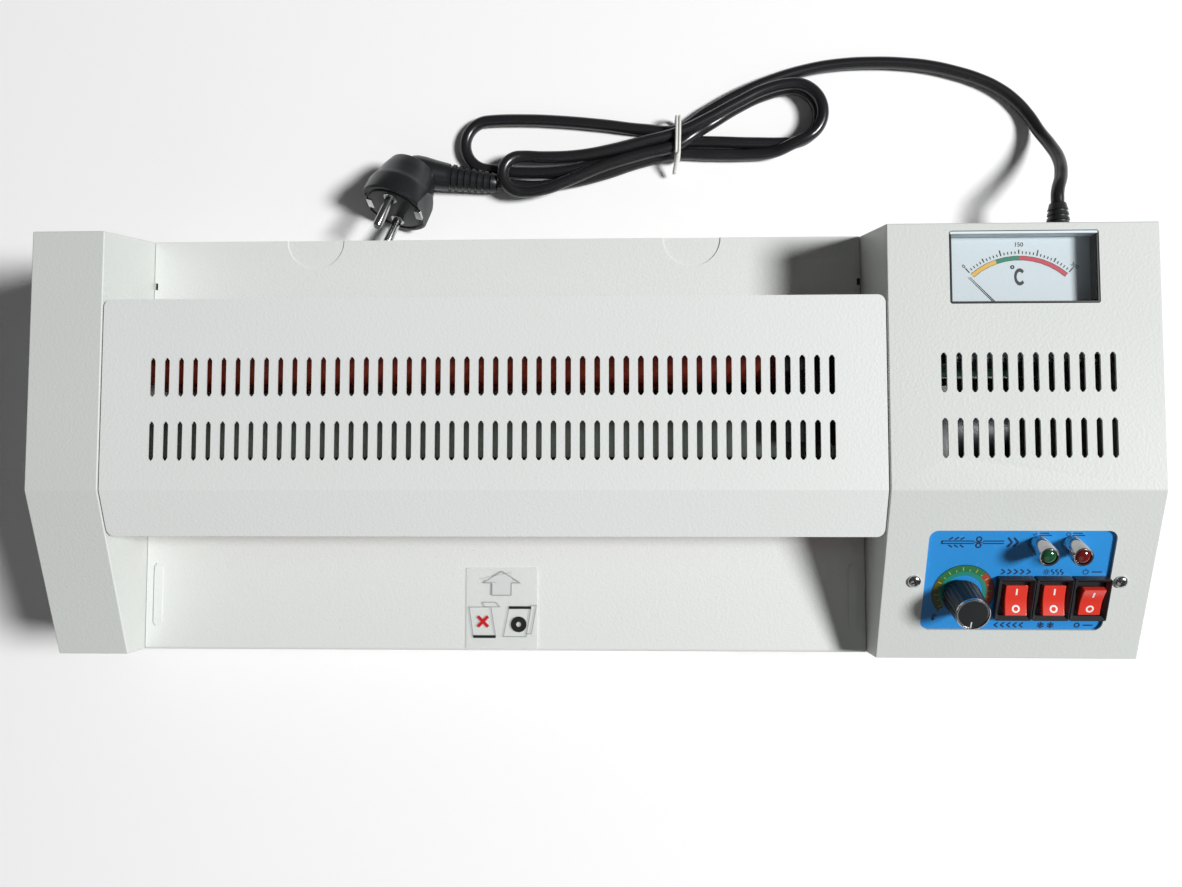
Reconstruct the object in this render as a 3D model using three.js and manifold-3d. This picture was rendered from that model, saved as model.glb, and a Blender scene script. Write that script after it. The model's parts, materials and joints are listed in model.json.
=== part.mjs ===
import * as THREE from 'three';
import { mergeVertices } from 'three/addons/utils/BufferGeometryUtils.js';
import Module from 'manifold-3d';

// A desk-top pouch laminator. Millimetres, +X to the right of the person who feeds the pouch,
// +Y towards the outlet, +Z up. The origin is on the table, under the middle of the machine.

// Case
const overallWidth = 500;
const overallDepth = 201;
const overallHeight = 105;
const leftWidth = 33;
const rightWidth = 118;
const slopeAngle = THREE.MathUtils.degToRad(23);
const slopeDepth = 76.5;
const rearLean = 7.7;
const footHeight = 5;
const sheet = 1.2;
const gap = 0.3;

// Trays and top cover
const trayHeight = 56;
const trayLip = 12;
const coverClear = 5.56;
const coverNose = 22.3;
const skirtGap = 15;
const sideGap = 0.8;
const coverCorner = 3.5;
const rollerClear = 12;
const ribInset = 6.3;
const ribDown = 26.4;
const ribWidth = 4;
const ribLength = 30.6;
const ribHeight = 0.8;
const moonRadius = 14.2;
const moonDepth = 0.5;
const moonLeft = 81;
const moonRight = 82;
const notchWidth = 1.6;
const notchLength = 3.4;
const notchBack = 22.5;

// Base and feet
const footInset = 30;
const footBack = 25;
const footTop = 9.5;
const footBottom = 8;

// Ventilation slots
const slotPitch = 6.4;
const slotWidth = 2.6;
const slotLength = 17.4;
const coverSlots = 48;
const coverSlotStart = 23.7;
const controlSlotShift = 0.7;
const controlSlots = 12;
const controlSlotPitch = 6.57;
const slotRowRear = 50.3;
const slotRowFront = 21.8;

// Rollers, nip and drive
const rollerRadius = 14;
const shaftRadius = 4;
const nip = 0.4;
const nipRise = 1.5;
const frontRollerInset = 74.5;
const rollerTeeth = 20;
const driveTeeth = 27;
const gearWidth = 8;
const gearClear = 4;
const frameThick = 1.5;
const frameReach = 8;
const frameFoot = 12;
const frameClear = 1.2;
const blockThick = 8;
const blockReach = 12;
const blockRise = 11;
const shaftEndLength = 3;
const shaftHoleClear = 2;
const stubRadius = 5;
const stubDepth = 3;
const motorRadius = 19;
const motorLength = 46;
const gearboxLength = 16;
const motorPost = { inset: 2, width: 12, reach: 14 };

// Heater plates
const heaterHeight = 18;
const heaterGap = 5;
const heaterClear = 3.5;
const bracketThick = 2.5;
const bracketBack = 10;
const bracketLegs = { inset: 14, width: 10, stripWidth: 31, towerInset: 28, towerWidth: 12 };
const bracketDrop = 8;

// Circuit board
const board = { inset: 8, length: 54, back: 3, width: 32, drop: 16, thick: 1.6, edge: 1 };
const coil = { x: 32, y: 12, radius: 6, height: 12 };
const boxParts = [
  { x: 5, y: 4, length: 15, width: 12, height: 13 },
  { x: 41, y: 4, length: 9, width: 20, height: 9 },
];

// Meter
const meterWidth = 64;
const meterWindowDepth = 31.7;
const meterCaseDepth = 56;
const meterCaseHeight = 24;
const meterEdge = 58.6;
const meterBack = 3.7;
const meterWall = 1.5;
const dialDrop = 6.2;
const dialThick = 0.6;
const windowRise = 2;
const windowProud = 0.5;
const needleLength = 31.5;
const needleTail = 4;
const needleWidth = 0.7;
const needleThick = 0.4;
const hubRadius = 2.2;
const hubThick = 1;
const needlePivot = 9.5;
const needleOffset = 0.8;
const needleRest = THREE.MathUtils.degToRad(44.3);

// Control panel, in the plane of the front slope
const panelWidth = 81.3;
const panelLength = 49.2;
const panelEdge = 58.75;
const panelDown = 43.8;
const panelRadius = 4;
const panelThick = 1.5;
const panelMargin = { width: 7, length: 4, radius: 3 };
const knobOffset = -23.7;
const knobDown = 51.3;
const knobRadius = 7.5;
const knobFlare = 1;
const knobHeight = 17;
const knobSocket = 5;
const potRadius = 8.5;
const potLength = 10;
const bushRadius = 3.7;
const potShaftRadius = 2.5;
const potShaftDepth = 8;
const lampOffset = 7.6;
const lampPitch = 14.4;
const lampDown = 26.6;
const lampRadius = 4.5;
const lampTaper = 0.4;
const lampHeight = 11.3;
const lampDepth = 12;
const lampLip = 1;
const lensDepth = 4.5;
const lensDome = 2;
const rockerOffset = -0.5;
const rockerPitch = 16.55;
const rockerDown = 52;
const rockerFrame = 16.1;
const rockerFrameLength = 20.6;
const rockerWidth = 9.8;
const rockerLength = 14;
const rockerPivot = 1.2;
const rockerDepth = 3.2;
const rockerWaist = 0.5;
const rockerFoot = 10;
const rockerRidge = 1.6;
const rockerHorn = 2.6;
const rockerTilt = THREE.MathUtils.degToRad(11);
const bezelTop = 2.4;
const pocketDepth = 4.2;
const pocketSide = 0.5;
const pocketEnd = 0.8;
const switchDepth = 14;
const switchHole = { width: 13.4, length: 18 };
const screwOffset = 45.3;
const screwRadius = 2.9;
const screwTop = 1.7;
const screwShank = 1.4;
const screwHole = 1.8;

// Mains cord
const cordRadius = 3.2;
const glandInset = 14;
const glandHeight = 36;
const glandNose = 21;
const glandHole = 6;
const glandFlange = { radius: 8, thick: 3 };
const glandTaper = [6.4, 4.4];
const glandNeck = { radius: 5.6, length: 8 };
const hankHeight = 13.6;
const hankLift = 0.2;
const tie = { x: 46, width: 2.4, wall: 1.2, front: 156.8, rear: 179.3, lift: 0.5 };
const plugRadius = 19;
const plugRim = { radius: 18.3, depth: 10 };
const plugBack = { radius: 12.5, depth: 29 };
const plugLift = 0.3;
const pinRadius = 2.4;
const pinLength = 19;
const pinPitch = 19;
const pinRoot = 4;

// Planes that follow from the sizes above
const front = -overallDepth / 2;
const rear = overallDepth / 2;
const left = -overallWidth / 2;
const right = overallWidth / 2;
const bedLeft = left + leftWidth;
const bedRight = right - rightWidth;
const bendY = front + slopeDepth;
const topZ = overallHeight;
const noseZ = topZ - slopeDepth * Math.tan(slopeAngle);
const floorTop = footHeight + sheet;
const coverNoseY = bendY - coverNose * Math.cos(slopeAngle);
const coverNoseZ = topZ - coverNose * Math.sin(slopeAngle);
const skirtZ = trayHeight + skirtGap;
const nipZ = trayHeight + nipRise;
const lowerZ = nipZ - nip / 2 - rollerRadius;
const upperZ = nipZ + nip / 2 + rollerRadius;
const gearModule = (upperZ - lowerZ) / rollerTeeth;
const frontRollerY = front + frontRollerInset;
const rearRollerY = frontRollerY + gearModule * (rollerTeeth + driveTeeth);
const driveY = (frontRollerY + rearRollerY) / 2;
const coverRearY = rearRollerY + rollerRadius + coverClear + sheet;
const frameOffset = sheet + gap;
const blockOffset = frameOffset + frameThick + gap;
const gearOffset = blockOffset + blockThick + gearClear;
const gearX = bedRight + gearOffset;
const motorX = gearX + gearWidth + 1;
const stubEnd = motorX + stubDepth;
const meterX = right - meterEdge;
const meterWindowY = rear - rearLean - meterBack - meterWindowDepth / 2;
const meterBaseZ = topZ - sheet - 2 * gap - meterCaseHeight;
const panelX = right - panelEdge;
const black = 0x17181a;
const steel = 0xa9adb0;
const nylon = 0xe6e2d3;
const through = 5;

const wasm = await Module();
wasm.setup();

const laminator = new THREE.Group();
const slope = new THREE.Group();
slope.position.set(0, bendY, topZ);
slope.rotation.x = slopeAngle;
laminator.add(slope);

// Solids -------------------------------------------------------------------

function solid(geometry, matrix) {
  const plain = geometry.clone();
  plain.deleteAttribute('normal');
  plain.deleteAttribute('uv');
  if (matrix) plain.applyMatrix4(matrix);
  const merged = mergeVertices(plain, 1e-4);
  return new wasm.Manifold(new wasm.Mesh({
    numProp: 3,
    vertProperties: Float32Array.from(merged.attributes.position.array),
    triVerts: Uint32Array.from(merged.index.array),
  }));
}

function at(x, y, z, turn = new THREE.Euler()) {
  const place = new THREE.Matrix4().makeRotationFromEuler(turn);
  return place.setPosition(x, y, z);
}

function box(x0, x1, y0, y1, z0, z1) {
  const geometry = new THREE.BoxGeometry(x1 - x0, y1 - y0, z1 - z0);
  return solid(geometry, at((x0 + x1) / 2, (y0 + y1) / 2, (z0 + z1) / 2));
}

// A box between two distances outwards from the plane x, towards dir = -1 or 1.
function sideBox(x, dir, near, far, y0, y1, z0, z1) {
  const ends = [x + dir * near, x + dir * far].sort((a, b) => a - b);
  return box(ends[0], ends[1], y0, y1, z0, z1);
}

function outline(points) {
  return new THREE.Shape(points.map(([a, b]) => new THREE.Vector2(a, b)));
}

// A (y, z) outline drawn out along X.
function alongX(points, x0, x1) {
  const geometry = new THREE.ExtrudeGeometry(outline(points), { depth: x1 - x0, bevelEnabled: false });
  const basis = new THREE.Matrix4().makeBasis(
    new THREE.Vector3(0, 1, 0), new THREE.Vector3(0, 0, 1), new THREE.Vector3(1, 0, 0));
  return solid(geometry, basis.setPosition(x0, 0, 0));
}

// An (x, y) shape drawn up from z0 to z1.
function alongZ(shape, z0, z1, curveSegments = 4) {
  const geometry = new THREE.ExtrudeGeometry(shape, { depth: z1 - z0, bevelEnabled: false, curveSegments });
  return solid(geometry, at(0, 0, z0));
}

function rodX(x0, x1, y, z, radius, sides = 24) {
  const geometry = new THREE.CylinderGeometry(radius, radius, x1 - x0, sides);
  return solid(geometry, at((x0 + x1) / 2, y, z, new THREE.Euler(0, 0, Math.PI / 2)));
}

function rodZ(x, y, z0, z1, low, high = low, sides = 24) {
  const geometry = new THREE.CylinderGeometry(high, low, z1 - z0, sides);
  return solid(geometry, at(x, y, (z0 + z1) / 2, new THREE.Euler(Math.PI / 2, 0, 0)));
}

function roundedRect(x, y, width, length, radius) {
  const shape = new THREE.Shape();
  const [w, h] = [width / 2, length / 2];
  shape.moveTo(x - w + radius, y - h);
  shape.lineTo(x + w - radius, y - h);
  shape.absarc(x + w - radius, y - h + radius, radius, -Math.PI / 2, 0);
  shape.lineTo(x + w, y + h - radius);
  shape.absarc(x + w - radius, y + h - radius, radius, 0, Math.PI / 2);
  shape.lineTo(x - w + radius, y + h);
  shape.absarc(x - w + radius, y + h - radius, radius, Math.PI / 2, Math.PI);
  shape.lineTo(x - w, y - h + radius);
  shape.absarc(x - w + radius, y - h + radius, radius, Math.PI, 1.5 * Math.PI);
  return shape;
}

function union(solids) {
  return solids.reduce((sum, next) => sum.add(next));
}

function cut(body, tools) {
  return tools.reduce((rest, tool) => rest.subtract(tool), body);
}

function addPart(name, shape, colour, roughness, metalness, parent = laminator) {
  let geometry = shape;
  if (!shape.isBufferGeometry) {
    const mesh = shape.getMesh();
    geometry = new THREE.BufferGeometry();
    geometry.setAttribute('position', new THREE.BufferAttribute(mesh.vertProperties, 3));
    geometry.setIndex(new THREE.BufferAttribute(mesh.triVerts, 1));
    geometry.computeVertexNormals();
  }
  const material = new THREE.MeshStandardMaterial({ color: colour, roughness, metalness });
  const part = new THREE.Mesh(geometry, material);
  part.name = name;
  parent.add(part);
  return part;
}

// Case ---------------------------------------------------------------------

// The side profile of the case, moved inwards by inset.
function caseProfile(inset, bottom) {
  const bendShift = inset * Math.tan(slopeAngle / 2);
  const noseShift = inset * Math.tan((Math.PI / 2 - slopeAngle) / 2);
  return [
    [front + inset, bottom],
    [rear - inset, bottom],
    [rear - inset, trayHeight],
    [rear - rearLean - inset, topZ - inset],
    [bendY + bendShift, topZ - inset],
    [front + inset, noseZ - noseShift],
  ];
}

// A slot with ends of three sides each, along Y.
function slotShape(x, y, width, length) {
  const [w, h] = [width / 2, length / 2];
  const corner = [[w, w - h], [w, h - w], [w * Math.SQRT1_2 / 2, h], [-w * Math.SQRT1_2 / 2, h]];
  const points = [...corner, ...corner.map(([a, b]) => [-a, -b])];
  return outline(points.map(([a, b]) => [x + a, y + b]));
}

// A row of slots, cut down through a flat top.
function slotRow(x0, count, pitch, y) {
  return Array.from({ length: count }, (_, i) => {
    return alongZ(slotShape(x0 + i * pitch, y, slotWidth, slotLength), topZ - through, topZ + through);
  });
}

function rollerAxes() {
  return [
    ['front_lower', frontRollerY, lowerZ],
    ['front_upper', frontRollerY, upperZ],
    ['rear_lower', rearRollerY, lowerZ],
    ['rear_upper', rearRollerY, upperZ],
  ];
}

// A casing open at the bottom: an outer wall, a top, a slope, and an inner wall beside the bed.
function housing(outer, inner, dir) {
  const [x0, x1] = dir > 0 ? [inner, outer] : [outer, inner];
  const shell = alongX(caseProfile(0, footHeight), x0, x1);
  const hollow = alongX(caseProfile(sheet, 0), x0 + sheet, x1 - sheet);
  const floorNotch = sideBox(inner, dir, -1, sheet + 1, front + sheet, rear - sheet, 0, floorTop + gap);
  const shaftHoles = rollerAxes().map(([, y, z]) => {
    return rodX(inner - through, inner + through, y, z, shaftRadius + shaftHoleClear);
  });
  return cut(shell, [hollow, floorNotch, ...shaftHoles]);
}

function onSlope(tool) {
  slope.updateMatrix();
  return tool.transform(slope.matrix.elements);
}

function addHousings() {
  const paint = 0xd8dad3;
  addPart('left_housing', housing(left, bedLeft, -1), paint, 0.55, 0);
  const window = roundedRect(meterX, meterWindowY, meterWidth + 2 * gap, meterWindowDepth + 2 * gap, 1);
  const panelWindow = roundedRect(panelX, -panelDown, panelWidth, panelLength, panelRadius);
  const slotX = panelX - (controlSlots - 1) * controlSlotPitch / 2 + controlSlotShift;
  const rows = [slotRowRear, slotRowFront].map((row) => {
    return slotRow(slotX, controlSlots, controlSlotPitch, bendY + row + controlSlotShift);
  });
  const screwHoles = [-1, 1].map((side) => {
    const x = panelX + side * screwOffset;
    return onSlope(rodZ(x, -panelDown, -through, through, screwHole, screwHole, 12));
  });
  const cordHole = new THREE.CylinderGeometry(glandHole, glandHole, 2 * through, 16);
  addPart('right_housing', cut(housing(right, bedRight, 1), [
    alongZ(window, topZ - through, topZ + through),
    onSlope(alongZ(panelWindow, -through, through)),
    ...rows.flat(),
    ...screwHoles,
    solid(cordHole, at(right - glandInset, rear, glandHeight)),
  ]), paint, 0.55, 0);
}

function addBase() {
  const inset = sheet + gap;
  const floor = box(left + inset, right - inset, front + inset, rear - inset, footHeight, floorTop);
  const wallTop = trayHeight - sheet - gap;
  const wall = (y) => box(bedLeft + gap, bedRight - gap, y, y + sheet, footHeight, wallTop);
  const pan = union([floor, wall(front + inset), wall(rear - inset - sheet)]);
  addPart('base_pan', pan, 0xc9cbc5, 0.5, 0.1);
  for (const [side, x] of [['left', left + footInset], ['right', right - footInset]]) {
    for (const [end, y] of [['front', front + footBack], ['rear', rear - footBack]]) {
      const foot = rodZ(x, y, 0, footHeight - gap, footBottom, footTop, 20);
      addPart(`foot_${end}_${side}`, foot, 0x1b1b1c, 0.8, 0);
    }
  }
}

// Trays --------------------------------------------------------------------

function addTrays() {
  const [x0, x1] = [bedLeft + gap, bedRight - gap];
  const under = trayHeight - sheet;
  const ribs = [bedLeft + ribInset, bedRight - ribInset].map((x) => {
    return alongZ(slotShape(x, front + ribDown, ribWidth, ribLength), under, trayHeight + ribHeight);
  });
  const frontPlate = box(x0, x1, front, frontRollerY - rollerClear, under, trayHeight);
  const frontLip = box(x0, x1, front, front + sheet, trayHeight - trayLip, trayHeight);
  addPart('front_tray', union([frontPlate, frontLip, ...ribs]), 0xdee0db, 0.5, 0);
  const moons = [bedLeft + moonLeft, bedRight - moonRight].map((x) => {
    return rodZ(x, rear, trayHeight - moonDepth, trayHeight + through, moonRadius, moonRadius, 48);
  });
  const notches = [[x0 - gap, x0 + notchWidth], [x1 - notchWidth, x1 + gap]].map(([low, high]) => {
    const y = rear - notchBack;
    return box(low, high, y - notchLength / 2, y + notchLength / 2, under - 1, trayHeight + 1);
  });
  const rearPlate = box(x0, x1, rearRollerY + rollerClear, rear, under, trayHeight);
  const rearLip = box(x0, x1, rear - sheet, rear, trayHeight - trayLip, trayHeight);
  addPart('rear_tray', cut(rearPlate.add(rearLip), [...moons, ...notches]), 0xdee0db, 0.5, 0);
}

// Top cover ----------------------------------------------------------------

function addCover() {
  const bendShift = sheet * Math.tan(slopeAngle / 2);
  const noseShift = sheet * Math.tan((Math.PI / 2 - slopeAngle) / 2);
  const profile = [
    [coverNoseY, skirtZ],
    [coverNoseY + sheet, skirtZ],
    [coverNoseY + sheet, coverNoseZ - noseShift],
    [bendY + bendShift, topZ - sheet],
    [coverRearY - sheet, topZ - sheet],
    [coverRearY - sheet, skirtZ],
    [coverRearY, skirtZ],
    [coverRearY, topZ],
    [bendY, topZ],
    [coverNoseY, coverNoseZ],
  ];
  const [x0, x1] = [bedLeft + sideGap, bedRight - sideGap];
  const middleY = (coverNoseY + coverRearY) / 2;
  const plan = roundedRect((x0 + x1) / 2, middleY, x1 - x0, coverRearY - coverNoseY, coverCorner);
  const shell = alongX(profile, x0, x1).intersect(alongZ(plan, 0, topZ + 1, 6));
  const slotX = bedLeft + coverSlotStart;
  addPart('top_cover', cut(shell, [
    ...slotRow(slotX, coverSlots, slotPitch, bendY + slotRowRear),
    ...slotRow(slotX, coverSlots, slotPitch, bendY + slotRowFront),
  ]), 0xdadcd7, 0.5, 0);
}

// Frames and rollers -------------------------------------------------------

function addFrames() {
  const y0 = frontRollerY - rollerRadius - frameReach;
  const y1 = rearRollerY + rollerRadius + frameReach;
  const frameTop = upperZ + rollerRadius + 6;
  const bottom = floorTop + gap;
  const inside = alongX(caseProfile(sheet + gap, 0), left, right);
  for (const [side, x, dir] of [['left', bedLeft, -1], ['right', bedRight, 1]]) {
    const [xa, xb] = [x - blockOffset - blockThick - 1, x + blockOffset + blockThick + 1];
    const holes = rollerAxes().map(([, y, z]) => rodX(xa, xb, y, z, shaftRadius + frameClear, 16));
    const bores = rollerAxes().map(([, y, z]) => rodX(xa, xb, y, z, shaftRadius + gap));
    const plate = sideBox(x, dir, frameOffset, frameOffset + frameThick, y0, y1, bottom, frameTop);
    const foot = sideBox(x, dir, frameOffset, frameFoot, y0, y1, bottom, bottom + frameThick);
    addPart(`side_frame_${side}`, cut(plate.add(foot).intersect(inside), holes), steel, 0.35, 0.9);
    const block = sideBox(x, dir, blockOffset, blockOffset + blockThick,
      frontRollerY - blockReach, rearRollerY + blockReach, lowerZ - blockRise, upperZ + blockRise);
    addPart(`bearing_block_${side}`, cut(block, bores), 0x2a2b2d, 0.6, 0);
  }
}

function addRollers() {
  const shaftStart = bedLeft - blockOffset - blockThick - shaftEndLength;
  const shaftEnd = gearX + gearWidth + gap;
  for (const [name, y, z] of rollerAxes()) {
    const sleeve = rodX(bedLeft + 2, bedRight - 2, y, z, rollerRadius, 32);
    const bore = rodX(bedLeft, bedRight, y, z, shaftRadius + gap);
    addPart(`roller_${name}`, sleeve.subtract(bore), 0x8e2b1f, 0.5, 0);
    addPart(`shaft_${name}`, rodX(shaftStart, shaftEnd, y, z, shaftRadius), 0xb9bcc0, 0.25, 1);
  }
}

// A spur gear about X whose first tooth points at angle phase, measured from +Y towards +Z.
function gear(teeth, phase, y, z) {
  const pitchRadius = teeth * gearModule / 2;
  const step = 2 * Math.PI / teeth;
  const points = [];
  for (let i = 0; i < teeth; i++) {
    const centre = phase + i * step;
    const tip = pitchRadius + 0.85 * gearModule;
    const root = pitchRadius - 1.1 * gearModule;
    for (const [radius, share] of [[root, -0.33], [tip, -0.1], [tip, 0.1], [root, 0.33]]) {
      const angle = centre + share * step;
      points.push([y + radius * Math.cos(angle), z + radius * Math.sin(angle)]);
    }
  }
  return alongX(points, gearX, gearX + gearWidth);
}

// The phase of a gear that meshes with its driver, which lies in direction towards from it + 180 degrees.
function meshPhase(driverPhase, driverTeeth, towards, teeth) {
  const past = (towards - driverPhase) * driverTeeth / (2 * Math.PI);
  return towards + Math.PI - (0.5 - past) * 2 * Math.PI / teeth;
}

function addDrive() {
  const drivePhase = 0;
  const up = Math.PI / 2;
  const phases = {};
  phases.front_lower = meshPhase(drivePhase, driveTeeth, Math.PI, rollerTeeth);
  phases.rear_lower = meshPhase(drivePhase, driveTeeth, 0, rollerTeeth);
  phases.front_upper = meshPhase(phases.front_lower, rollerTeeth, up, rollerTeeth);
  phases.rear_upper = meshPhase(phases.rear_lower, rollerTeeth, up, rollerTeeth);
  for (const [name, y, z] of rollerAxes()) {
    const bore = rodX(gearX - 1, gearX + gearWidth + 1, y, z, shaftRadius + gap);
    addPart(`gear_${name}`, gear(rollerTeeth, phases[name], y, z).subtract(bore), nylon, 0.5, 0);
  }
  const stub = rodX(gearX + gearWidth - 1, stubEnd, driveY, lowerZ, stubRadius, 20);
  addPart('drive_gear', gear(driveTeeth, drivePhase, driveY, lowerZ).add(stub), nylon, 0.5, 0);
  const [y0, y1] = [driveY - motorRadius, driveY + motorRadius];
  const [z0, z1] = [lowerZ - motorRadius, lowerZ + motorRadius];
  const postX = motorX + motorPost.inset;
  const body = union([
    box(motorX, motorX + gearboxLength, y0, y1, z0, z1),
    rodX(motorX + gearboxLength - 1, motorX + motorLength, driveY, lowerZ, motorRadius - 1, 24),
    box(postX, postX + motorPost.width, driveY - motorPost.reach, driveY + motorPost.reach,
      floorTop + gap, z0 + 1),
  ]);
  const shaftHole = rodX(motorX - 1, stubEnd + gap, driveY, lowerZ, stubRadius + gap, 20);
  addPart('gear_motor', body.subtract(shaftHole), 0x8b8f93, 0.4, 0.8);
}

// Heating and electrics ----------------------------------------------------

function addHeaters() {
  const y0 = frontRollerY + rollerRadius + heaterClear;
  const y1 = rearRollerY - rollerRadius - 2 * heaterClear;
  const [x0, x1] = [bedLeft + gap, bedRight - gap];
  const bottom = nipZ + heaterGap / 2;
  const upper = box(x0, x1, y0, y1, bottom, bottom + heaterHeight);
  addPart('heater_upper', upper, 0x77807a, 0.45, 0.7);
  const top = nipZ - heaterGap / 2;
  addPart('heater_lower', box(x0, x1, y0, y1, top - heaterHeight, top), 0x77807a, 0.45, 0.7);
  const bracketTop = topZ - sheet - bracketDrop;
  const over = upperZ + rollerRadius + 2;
  const legs = bracketLegs;
  const legX = bedRight - legs.inset;
  const towerX = bedRight - legs.towerInset;
  const bracket = union([
    box(legX - legs.stripWidth, legX, y0 + 6, rearRollerY + bracketBack, over, over + bracketThick),
    box(legX - legs.width, legX, y0 + 6, y0 + 6 + legs.width, bottom + heaterHeight + gap, over + 1),
    box(towerX - legs.towerWidth, towerX, y1 - 2, y1 - 2 + legs.towerWidth, over + 1, bracketTop),
  ]);
  addPart('thermostat_bracket', bracket, black, 0.6, 0);
}

function addBoard() {
  const [x0, x1] = [motorX + board.inset, motorX + board.inset + board.length];
  const y0 = driveY + motorRadius + board.back;
  const y1 = y0 + board.width;
  const shelf = meterBaseZ - board.drop;
  const bracket = union([
    box(x0, x1, y0, y1, shelf - frameThick, shelf),
    box(x1 - frameThick, x1, y0, y1, floorTop + gap, shelf),
  ]);
  addPart('board_bracket', bracket, steel, 0.35, 0.9);
  const z = shelf + gap;
  const blocks = boxParts.map((b) => {
    return box(x0 + b.x, x0 + b.x + b.length, y0 + b.y, y0 + b.y + b.width, z + 1, z + b.height);
  });
  const plate = box(x0 + board.edge, x1 - board.edge, y0 + board.edge, y1 - board.edge, z, z + board.thick);
  const winding = rodZ(x0 + coil.x, y0 + coil.y, z + 1, z + coil.height, coil.radius, coil.radius, 20);
  addPart('circuit_board', union([plate, winding, ...blocks]), 0x2f6b4a, 0.5, 0);
}

// Meter --------------------------------------------------------------------

function addMeter() {
  const y1 = meterWindowY + meterWindowDepth / 2;
  const rim = topZ - sheet - 2 * gap;
  const half = meterWidth / 2 + gap + meterWall;
  const inside = half - meterWall;
  const dialZ = rim - dialDrop;
  const frontY = y1 - meterCaseDepth;
  const outer = box(meterX - half, meterX + half, frontY - meterWall, y1 + gap + meterWall, meterBaseZ, rim);
  const floor = dialZ - dialThick - gap;
  const inner = box(meterX - inside, meterX + inside, frontY, y1 + gap, floor, rim + 1);
  addPart('meter_case', outer.subtract(inner), black, 0.5, 0);
  const dial = box(meterX - inside + gap, meterX + inside - gap, frontY + gap, y1, dialZ - dialThick, dialZ);
  addPart('meter_dial', dial, 0xe7eef0, 0.6, 0);
  const blade = box(-needleWidth / 2, needleWidth / 2, -needleTail, needleLength, 0, needleThick);
  const hub = rodZ(0, 0, 0, hubThick, hubRadius, hubRadius, 16);
  const needle = addPart('meter_needle', blade.add(hub), black, 0.4, 0);
  needle.position.set(meterX + needleOffset, y1 - meterWindowDepth - needlePivot, dialZ + gap);
  needle.rotation.z = needleRest;
  const window = roundedRect(meterX, meterWindowY, meterWidth, meterWindowDepth, 1);
  addPart('meter_window', alongZ(window, dialZ + windowRise, topZ + windowProud), 0xdfe9ee, 0.05, 0);
}

// Control panel ------------------------------------------------------------

function addPanel() {
  const top = -sheet - gap;
  const under = top - panelThick;
  const [width, length] = [panelWidth + 2 * panelMargin.width, panelLength + 2 * panelMargin.length];
  const plate = roundedRect(panelX, -panelDown, width, length, panelMargin.radius);
  const rockerXs = [0, 1, 2].map((i) => panelX + rockerOffset + i * rockerPitch);
  const lampXs = [0, 1].map((i) => panelX + lampOffset + i * lampPitch);
  const screwXs = [-1, 1].map((side) => panelX + side * screwOffset);
  const drill = (x, down, radius) => rodZ(x, -down, under - 1, top + 1, radius, radius, 20);
  const holes = [
    ...rockerXs.map((x) => {
      return centredBox(x, -rockerDown, switchHole.width, switchHole.length, under - 1, top + 1);
    }),
    ...lampXs.map((x) => drill(x, lampDown, lampRadius - lampLip + gap)),
    drill(panelX + knobOffset, knobDown, bushRadius + gap),
    ...screwXs.map((x) => drill(x, panelDown, screwHole)),
  ];
  addPart('control_panel', cut(alongZ(plate, under, top, 3), holes), 0x2b8fe0, 0.4, 0, slope);
  addSwitches(rockerXs, -rockerDown, top);
  addLamps(lampXs, top);
  addKnob(top);
  screwXs.forEach((x, i) => {
    const head = rodZ(x, -panelDown, gap, screwTop, screwRadius, screwRadius * 0.75, 20);
    const shank = rodZ(x, -panelDown, top - 6, gap + 0.5, screwShank, screwShank, 12);
    addPart(`panel_screw_${i + 1}`, head.add(shank), 0xc6c8ca, 0.25, 1, slope);
  });
}

function centredBox(x, y, width, length, z0, z1) {
  return box(x - width / 2, x + width / 2, y - length / 2, y + length / 2, z0, z1);
}

function addSwitches(xs, y, top) {
  const [w, h] = [rockerWidth + 2 * pocketSide, rockerLength + 2 * pocketEnd];
  const half = rockerLength / 2;
  const foot = rockerFoot / 2;
  const profile = [
    [-half, -rockerWaist], [-foot, -rockerDepth], [foot, -rockerDepth], [half, -rockerWaist],
    [half, rockerHorn], [0, rockerRidge], [-half, rockerHorn],
  ];
  xs.forEach((x, i) => {
    const bezel = centredBox(x, y, rockerFrame, rockerFrameLength, top + gap, bezelTop);
    const [bodyWidth, bodyLength] = [switchHole.width - 2 * gap, switchHole.length - 2 * gap];
    const body = centredBox(x, y, bodyWidth, bodyLength, -switchDepth, top + 1);
    const pocket = centredBox(x, y, w, h, -pocketDepth, bezelTop + 1);
    addPart(`switch_body_${i + 1}`, bezel.add(body).subtract(pocket), black, 0.45, 0, slope);
    const rocker = alongX(profile, -rockerWidth / 2, rockerWidth / 2);
    const part = addPart(`rocker_${i + 1}`, rocker, 0xe8483a, 0.3, 0, slope);
    part.position.set(x, y, rockerPivot);
    part.rotation.x = i < 2 ? -rockerTilt : rockerTilt;
  });
}

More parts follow.
